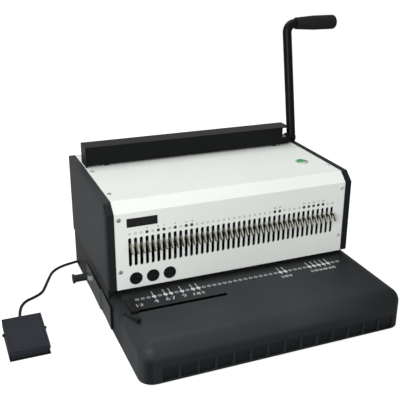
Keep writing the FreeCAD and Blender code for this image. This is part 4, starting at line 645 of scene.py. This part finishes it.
cells("grip_rubber", (25, 25, 27), (36, 36, 38), 0.82, 1100.0, 0.00018)
cells("foot_rubber", (24, 24, 25), (32, 32, 33), 0.85, 700.0, 0.00008)
disc_finish, disc_wipe = glossy("disc_plastic", 0.18)
disc_finish.set(Base_Color=disc_finish.blend(disc_wipe, tone(20, 21, 23), tone(27, 28, 30)))

cord_finish = Finish("cord_plastic", Specular_IOR_Level=0.25)
sheath = cord_finish.noise(600.0)
cord_finish.set(Base_Color=cord_finish.blend(sheath, tone(20, 20, 22), tone(28, 28, 30)),
                Roughness=sheath * 0.15 + 0.4, Normal=cord_finish.bump(sheath, 0.00004, 0.5))
for piece in (pedal_lead, relief_sleeve):
    piece.data.materials.append(cord_finish.material)
print("grip, feet, discs and cord")

# %% [markdown]
# The rocker is clear green plastic over a small lamp. Its raised half shows deep green, and its sunk half lies
# under the ceiling light and is painted pale, as a painted reflection of that light. The bezel round it is pale
# plastic, with painted shade in dark green at its rear right. The masks follow the switch, whose middle comes from
# the imported bezel. The circuit board has green tracks on its wide side, and its parts are black.


# %% Rocker, bezel and circuit board
def corners(node):
    """A node's lowest and highest corner in millimetres, to a thousandth."""
    return [np.round(np.array(corner) / MM, 3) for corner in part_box(node)]


SWITCH_X, SWITCH_Y, _ = np.round(sum(corners("switch_bezel")) / 2, 1) * MM
RAISED_HALF, BEZEL_SHADE = (-0.0041, -0.0029), (0.002, 0.005)
BOARD_FACE_Y = (0.2205, 0.2208)

rocker_finish = Finish("rocker_plastic", Coat_Weight=0.6, Coat_Roughness=0.08, IOR=1.5)
raised = rocker_finish.rise(rocker_finish.axis("Y"), *(SWITCH_Y + step for step in RAISED_HALF))
glint = rocker_finish.noise(300.0)
# The sunk half's pale tone is a painted reflection of the ceiling light.
rocker_finish.set(Base_Color=rocker_finish.blend(raised, tone(214, 226, 214), tone(40, 148, 82)),
                  Roughness=glint * 0.1 + 0.2, Emission_Strength=0.25,
                  Emission_Color=rocker_finish.blend(raised, tone(0, 0, 0), tone(16, 120, 56)))

bezel_finish, _ = glossy("bezel_plastic", 0.25)
shade = bezel_finish.rise(bezel_finish.axis("X") + bezel_finish.axis("Y"),
                          *(SWITCH_X + SWITCH_Y + step for step in BEZEL_SHADE))
# The bezel's rear right is painted dark green as shade.
bezel_finish.set(Base_Color=bezel_finish.blend(shade, tone(206, 214, 206), tone(52, 84, 64)))

board_finish = Finish("board_laminate", Roughness=0.35)
parts_side = board_finish.rise(board_finish.axis("Y"), *BOARD_FACE_Y)
tracks = board_finish.node("ShaderNodeTexBrick", None,
                           {"Vector": board_finish.place, "Scale": 90.0, "Color1": tone(30, 88, 54),
                            "Color2": tone(34, 96, 60), "Mortar": tone(96, 140, 84)})
board_finish.set(Base_Color=board_finish.blend(parts_side, tone(38, 38, 42), tracks))
print("rocker at", SWITCH_X, SWITCH_Y)

# %% [markdown]
# ## Catch and knob
#
# The drawer's knob is black, and the round catch beside it is plated and catches the light. Both are one
# sub-part, so a soft-edged region in the finish tells plating from plastic.

# %% Knob and catch
CATCH_END_Y = (0.1260, 0.1262)

plating = Finish("knob_and_catch")
near = 1 - plating.rise(plating.axis("Y"), *CATCH_END_Y)
lathe_marks = plating.noise(500.0)
plating.set(Base_Color=plating.blend(near, tone(22, 22, 24), tone(206, 216, 212)), Metallic=near,
            Roughness=0.45 - near * 0.2 + lathe_marks * 0.05,
            Normal=plating.bump(lathe_marks, 0.00003, 0.4))
print("finishes:", len(FINISHES))

# %% [markdown]
# ## Dressing the sub-parts
#
# The imported record names one finish slot for each sub-part. Each finish above has its slot's name, so one loop
# dresses them all. The exceptions are the knob with its catch, two small steel parts in black, and the punch beam,
# which is painted black as painted shade, so that the slots look dark and nothing gleams behind them.

# %% Dress the sub-parts
# The punch beam is painted black as shade inside the slots.
EXCEPTIONS = {"drawer_knob": "knob_and_catch", "stop_lock_lever": "inlet_plastic",
              "pedal_pin": "inlet_plastic", "punch_beam": "black_paint"}
for entry in frame["record"]["subparts"]:
    mesh = nodes[entry["node"]].data
    mesh.materials.clear()
    mesh.materials.append(FINISHES[EXCEPTIONS.get(entry["node"], entry["material_slot"])])

# %% [markdown]
# ## Screw heads
#
# The hood hangs on eight plated screws with domed heads and cross recesses. A head is a height above a disc:
# a dome, minus a cross whose arms are cut by a soft step. The grid runs from the centre to the rim, over it
# and down the side.

# %% Screw heads
HOOD_TOP = corners("front_cover")[1][2]
HEAD_RADIUS, HEAD_HEIGHT, DOME_FALL = 3.1, 1.9, 0.55
SCREW_X = corners("cover_screws")[1][0] - HEAD_RADIUS
SCREWS_ON_FRONT, SCREWS_ON_TOP = (94.7, 174.9), (45.0, 148.5)
CROSS_DEPTH, ARM_HALF, ARM_LENGTH = 1.1, 0.42, 1.9
SIDE_SLOPE, END_SLOPE = 0.12, 0.2
HEAD_CENTRE, HEAD_RINGS, HEAD_SEGMENTS = 0.02, 22, 48


def screw_head():
    """Height over radius r and turn a: H (1 - f (r/R)^2) for a head of height H, radius R and dome fall f,
    less the cross's depth where an arm passes."""
    r, a = np.meshgrid(np.linspace(HEAD_CENTRE, HEAD_RADIUS, HEAD_RINGS),
                       np.linspace(0, 2 * np.pi, HEAD_SEGMENTS, endpoint=False), indexing="ij")
    x, y = r * np.cos(a), r * np.sin(a)
    arm = np.minimum(np.abs(x), np.abs(y))
    sunk = np.clip((ARM_HALF - arm) / SIDE_SLOPE, 0, 1) * np.clip((ARM_LENGTH - r) / END_SLOPE, 0, 1)
    height = HEAD_HEIGHT * (1 - DOME_FALL * (r / HEAD_RADIUS) ** 2) - CROSS_DEPTH * sunk
    dome = np.stack([x, y, height], 2)
    skirt = dome[-1:] * np.array([1.0, 1.0, 0.0])
    return np.concatenate([dome, skirt])


heads = Shape()
for side in (-1, 1):
    for height in SCREWS_ON_FRONT:
        heads.grid(aimed(screw_head(), (side * SCREW_X, 0.0, height), RIGHT, TOP, -REAR)[:, ::-1],
                   wrap_columns=True)
    for depth in SCREWS_ON_TOP:
        heads.grid(aimed(screw_head(), (side * SCREW_X, depth, HOOD_TOP), RIGHT, REAR, TOP),
                   wrap_columns=True)
screw_heads = heads.build("screw_heads", "machine", "screw_steel", FINISHES["screw_steel"])
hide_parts("cover_screws")

# %% [markdown]
# ## Return springs
#
# Two springs of flat wire stand round the guide posts and press the punch beam up again. A coil spring is one
# section carried along a helix. The springs stand on the pin guide and shorten as the beam comes down; the script
# works out the share of their height that the stroke leaves and gives the piece a mesh of its own. Their foot and
# height come from the solids that they replace, and the stroke comes from the joint.

# %% Return springs
spring_low, spring_high = corners("return_springs")
SPRING_FOOT, SPRING_HEIGHT = spring_low[2], spring_high[2] - spring_low[2]
SPRING_TURNS, SPRING_RADIUS = 6, 9.6
WIRE_WIDE, WIRE_HIGH = 2.4, 1.8
STEPS_IN_TURN = 48
STROKE = next(joint["range_m"][1] for joint in frame["joints"] if joint["name"] == "punch_stroke") / MM
POST_RADIUS = 8.0
posts_low, posts_high = corners("guide_posts")
POST_X, POST_Y = posts_high[0] - POST_RADIUS, (posts_low[1] + posts_high[1]) / 2


def coil_spring():
    """Section corner at turn angle a: ((R +- w/2) cos a, (R +- w/2) sin a, z(a) +- h/2); z climbs evenly."""
    angle = np.linspace(0, 2 * np.pi * SPRING_TURNS, STEPS_IN_TURN * SPRING_TURNS + 1)[:, None]
    climb = SPRING_FOOT + WIRE_HIGH / 2 + (SPRING_HEIGHT - WIRE_HIGH) * angle / angle[-1]
    reach = SPRING_RADIUS + WIRE_WIDE / 2 * np.array([-1, 1, 1, -1])
    rise = WIRE_HIGH / 2 * np.array([-1, -1, 1, 1])
    return np.stack([reach * np.cos(angle), reach * np.sin(angle), climb + rise], 2)


springs = Shape()
for side in (-1, 1):
    coil = coil_spring() + (side * POST_X, POST_Y, 0)
    last = 4 * (len(coil) - 1)
    ends = [(0, 1, 2, 3), (last + 3, last + 2, last + 1, last)]
    springs.add(coil, np.concatenate([grid_faces(len(coil), 4, wrap_columns=True), ends]))
spring_pair = springs.build("spring_pair", "machine", "dark_steel", FINISHES["dark_steel"], smooth=False)
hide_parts("return_springs")
1 - STROKE / SPRING_HEIGHT
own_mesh(spring_pair)

# %% [markdown]
# ## Printed marks
#
# Rings are printed over the slots and again on the table part, one for each pin, so that the user sees
# which pins to draw out for a sheet size. The pins that matter for common sizes have a filled dot, a
# number and, on the table part, a guide line. Print lies flat on its surface: a ring is two circles
# joined by faces, a line is four points, and figures come from a font, one mesh for each figure.

# %% Print helpers
SLOT_COUNT = 40
slot_x = (np.arange(SLOT_COUNT) - (SLOT_COUNT - 1) / 2) * SLOT_PITCH
MARKED = (4, 6, 7, 9, 11, 12, 28, 29, 34, 35, 36, 37, 38)
PRINT_LIFT = 0.06
FIGURE_STEP, BOLD_SHIFT = 0.62, 0.8
RING_STEPS = 20


def figure_outlines():
    """Points and faces of each figure from 0 to 9, one unit tall, taken from a text object once."""
    outlines = {}
    for figure in "0123456789":
        text = bpy.data.curves.new("figure", "FONT")
        text.body = figure
        text.align_x = "CENTER"
        text.resolution_u = 3
        holder = bpy.data.objects.new("figure", text)
        scene.collection.objects.link(holder)
        mesh = bpy.data.meshes.new_from_object(holder)
        outlines[figure] = (np.array([vertex.co[:2] for vertex in mesh.vertices]),
                            [list(face.vertices) for face in mesh.polygons])
        bpy.data.objects.remove(holder)
        bpy.data.meshes.remove(mesh)
        bpy.data.curves.remove(text)
    return outlines


FIGURES = figure_outlines()


class Print:
    """Flat marks on a plane through a place, with x along across and y along up."""

    def __init__(self, place, across, up):
        self.shape = Shape()
        self.frame = (place, across, up, np.cross(across, up))

    def put(self, flat, faces):
        solid = np.column_stack([flat, np.zeros(len(flat))])
        self.shape.add(aimed(solid, *self.frame), faces)

    def ring(self, x, y, outer, inner):
        """Two circles: at turn a, radius r, the point (x + r cos a, y + r sin a)."""
        turn = np.linspace(0, 2 * np.pi, RING_STEPS, endpoint=False)
        circle = np.stack([np.cos(turn), np.sin(turn)], 1)
        flat = np.concatenate([circle * inner, circle * outer]) + (x, y)
        self.put(flat, grid_faces(2, RING_STEPS, wrap_columns=True))

    def line(self, start, end, width):
        """Both ends, moved half the width to either side, square to the run."""
        start, end = np.asarray(start, float), np.asarray(end, float)
        side = (end - start) @ np.array([[0, 1], [-1, 0]]) / np.linalg.norm(end - start) * width / 2
        self.put(np.array([start - side, end - side, end + side, start + side]), [(0, 1, 2, 3)])

    def number(self, value, x, y, tall):
        """Figures side by side, a fixed step apart, with their middle at x."""
        figures = str(value)
        for place, figure in enumerate(figures):
            points, faces = FIGURES[figure]
            offset = (place - (len(figures) - 1) / 2) * FIGURE_STEP * tall
            self.put(points * tall + (x + offset, y), faces)

    def bold_number(self, value, x, y, tall):
        """A number printed twice, a little apart, for thicker strokes."""
        for shift in (0.0, BOLD_SHIFT):
            self.number(value, x + shift, y, tall)

    def build(self, name, material):
        return self.shape.build(name, "machine", "cover_paint", material, smooth=False)


print("figures:", len(FIGURES), "- marked pins:", len(MARKED))

# %% [markdown]
# Printing ink is matt and slightly uneven, because the screen it is pressed through leaves small gaps. The
# ink on the hood is dark grey, thinner on the plain rings, and the ink on the table part is white.


# %% Inks
def ink(name, colour, thin):
    finish = Finish(name, Roughness=0.6)
    gaps = finish.rise(finish.noise(1800.0), 0.3, 0.6)
    finish.set(Base_Color=finish.blend(gaps, tone(*thin), tone(*colour)),
               Normal=finish.bump(gaps, 0.00001, 0.3))
    return finish.material


dark_ink = ink("dark_ink", (22, 24, 27), (44, 46, 50))
thin_ink = ink("thin_ink", (118, 122, 120), (150, 154, 152))
white_ink = ink("white_ink", (236, 238, 240), (200, 203, 206))
grey_ink = ink("grey_ink", (196, 200, 203), (150, 154, 158))
print("inks: dark, thin, white and grey")

# %% [markdown]
# A dot is a ring with a hole too small to see. On the hood the marks stand just above the slots, and on the
# table part they lie in front of the throat, with each number between its guide line and the user. The
# table's top is level with the die block's.

# %% Marks on the hood
RING_Z, NUMBER_Z, HOOD_FIGURES = 151.8, 156.6, 4.0
HOOD_DOT, HOOD_RING = (2.4, 0.2), (1.7, 1.05)

hood_plain = Print((0, -PRINT_LIFT, 0), RIGHT, TOP)
hood_marked = Print((0, -PRINT_LIFT, 0), RIGHT, TOP)
for slot, x in enumerate(slot_x, start=1):
    if slot in MARKED:
        hood_marked.ring(x, RING_Z, *HOOD_DOT)
        hood_marked.number(slot, x, NUMBER_Z, HOOD_FIGURES)
    else:
        hood_plain.ring(x, RING_Z, *HOOD_RING)
hood_marked.build("hood_marks", dark_ink)
hood_plain.build("hood_rings", thin_ink)

# %% Marks on the table part
TABLE_TOP = corners("die_block")[1][2]
ROW_Y = -27.0
TABLE_DOT, TABLE_RING = (3.4, 0.2), (2.9, 1.3)
GUIDE_SPANS, GUIDE_WIDTH = ((3, 15), (-3, -7)), 1.1
ONE_FIGURE, TWO_FIGURES = 12.5, 9.0
NUMBER_LEFT, NUMBER_FRONT = 1.4, 18.0
EDGE_NUMBER, EDGE_FIGURES, EDGE_LEFT, EDGE_FRONT = 12, 10.5, 2.0, 20.0

table_plain = Print((0, 0, TABLE_TOP + PRINT_LIFT), RIGHT, REAR)
table_marked = Print((0, 0, TABLE_TOP + PRINT_LIFT), RIGHT, REAR)
for slot, x in enumerate(slot_x, start=1):
    if slot in MARKED:
        table_marked.ring(x, ROW_Y, *TABLE_DOT)
        for start, stop in GUIDE_SPANS:
            table_marked.line((x, ROW_Y + start), (x, ROW_Y + stop), GUIDE_WIDTH)
        tall = ONE_FIGURE if slot < 10 else TWO_FIGURES
        table_marked.bold_number(slot, x - NUMBER_LEFT, ROW_Y - NUMBER_FRONT, tall)
    else:
        table_plain.ring(x, ROW_Y, *TABLE_RING)
table_marked.bold_number(EDGE_NUMBER, slot_x[0] - EDGE_LEFT, ROW_Y - EDGE_FRONT, EDGE_FIGURES)
table_marked.build("table_marks", white_ink)
table_plain.build("table_rings", grey_ink)

# %% [markdown]
# ## Pedal pad
#
# The pedal's tread has a ribbed pad, so that a shoe doesn't slip. The pad is a height above the sloping
# tread: a thin sheet with cross ribs, let down to the tread along its border.

# %% Pedal pad
tread_low, tread_high = corners("pedal_tread")
SIDE_MARGIN, END_MARGIN, PAD_BORDER = 3.5, 4.0, 0.6
PAD_LEFT, PAD_RIGHT = tread_low[0] + SIDE_MARGIN, tread_high[0] - SIDE_MARGIN
PAD_FRONT, PAD_REAR = tread_low[1] + END_MARGIN, tread_high[1] - END_MARGIN
PAD_HEIGHT, RIB_HEIGHT, RIB_PITCH = 0.6, 0.15, 5.5
RIB_GAIN, RIB_SHIFT = 1.6, 0.3
PAD_COLUMNS, PAD_ROWS = 12, 180
FRONT_HEIGHT = 15.0
TREAD_SLOPE = (tread_high[2] - FRONT_HEIGHT) / (tread_high[1] - tread_low[1])


def tread_pad():
    """Height over the tread: the pad's, plus a rib's where the clipped sine along y stands, times a step
    that is 0 on the border and 1 inside it."""
    x = np.r_[PAD_LEFT, np.linspace(PAD_LEFT + PAD_BORDER, PAD_RIGHT - PAD_BORDER, PAD_COLUMNS), PAD_RIGHT]
    y = np.r_[PAD_FRONT, np.linspace(PAD_FRONT + PAD_BORDER, PAD_REAR - PAD_BORDER, PAD_ROWS), PAD_REAR]
    border = np.outer(np.r_[0, np.ones(PAD_ROWS), 0], np.r_[0, np.ones(PAD_COLUMNS), 0])
    rib = np.clip(RIB_GAIN * np.sin(2 * np.pi * (y - PAD_FRONT) / RIB_PITCH) + RIB_SHIFT, 0, 1)
    tread = FRONT_HEIGHT + (y - tread_low[1]) * TREAD_SLOPE
    height = tread[:, None] + (PAD_HEIGHT + RIB_HEIGHT * rib[:, None]) * border
    across, along = np.meshgrid(x, y)
    return np.stack([across, along, height], 2)


pad_shape = Shape().grid(tread_pad()[::-1])
pad_shape.build("tread_pad", "treadle", "pedal_plastic", FINISHES["pedal_plastic"], smooth=False)
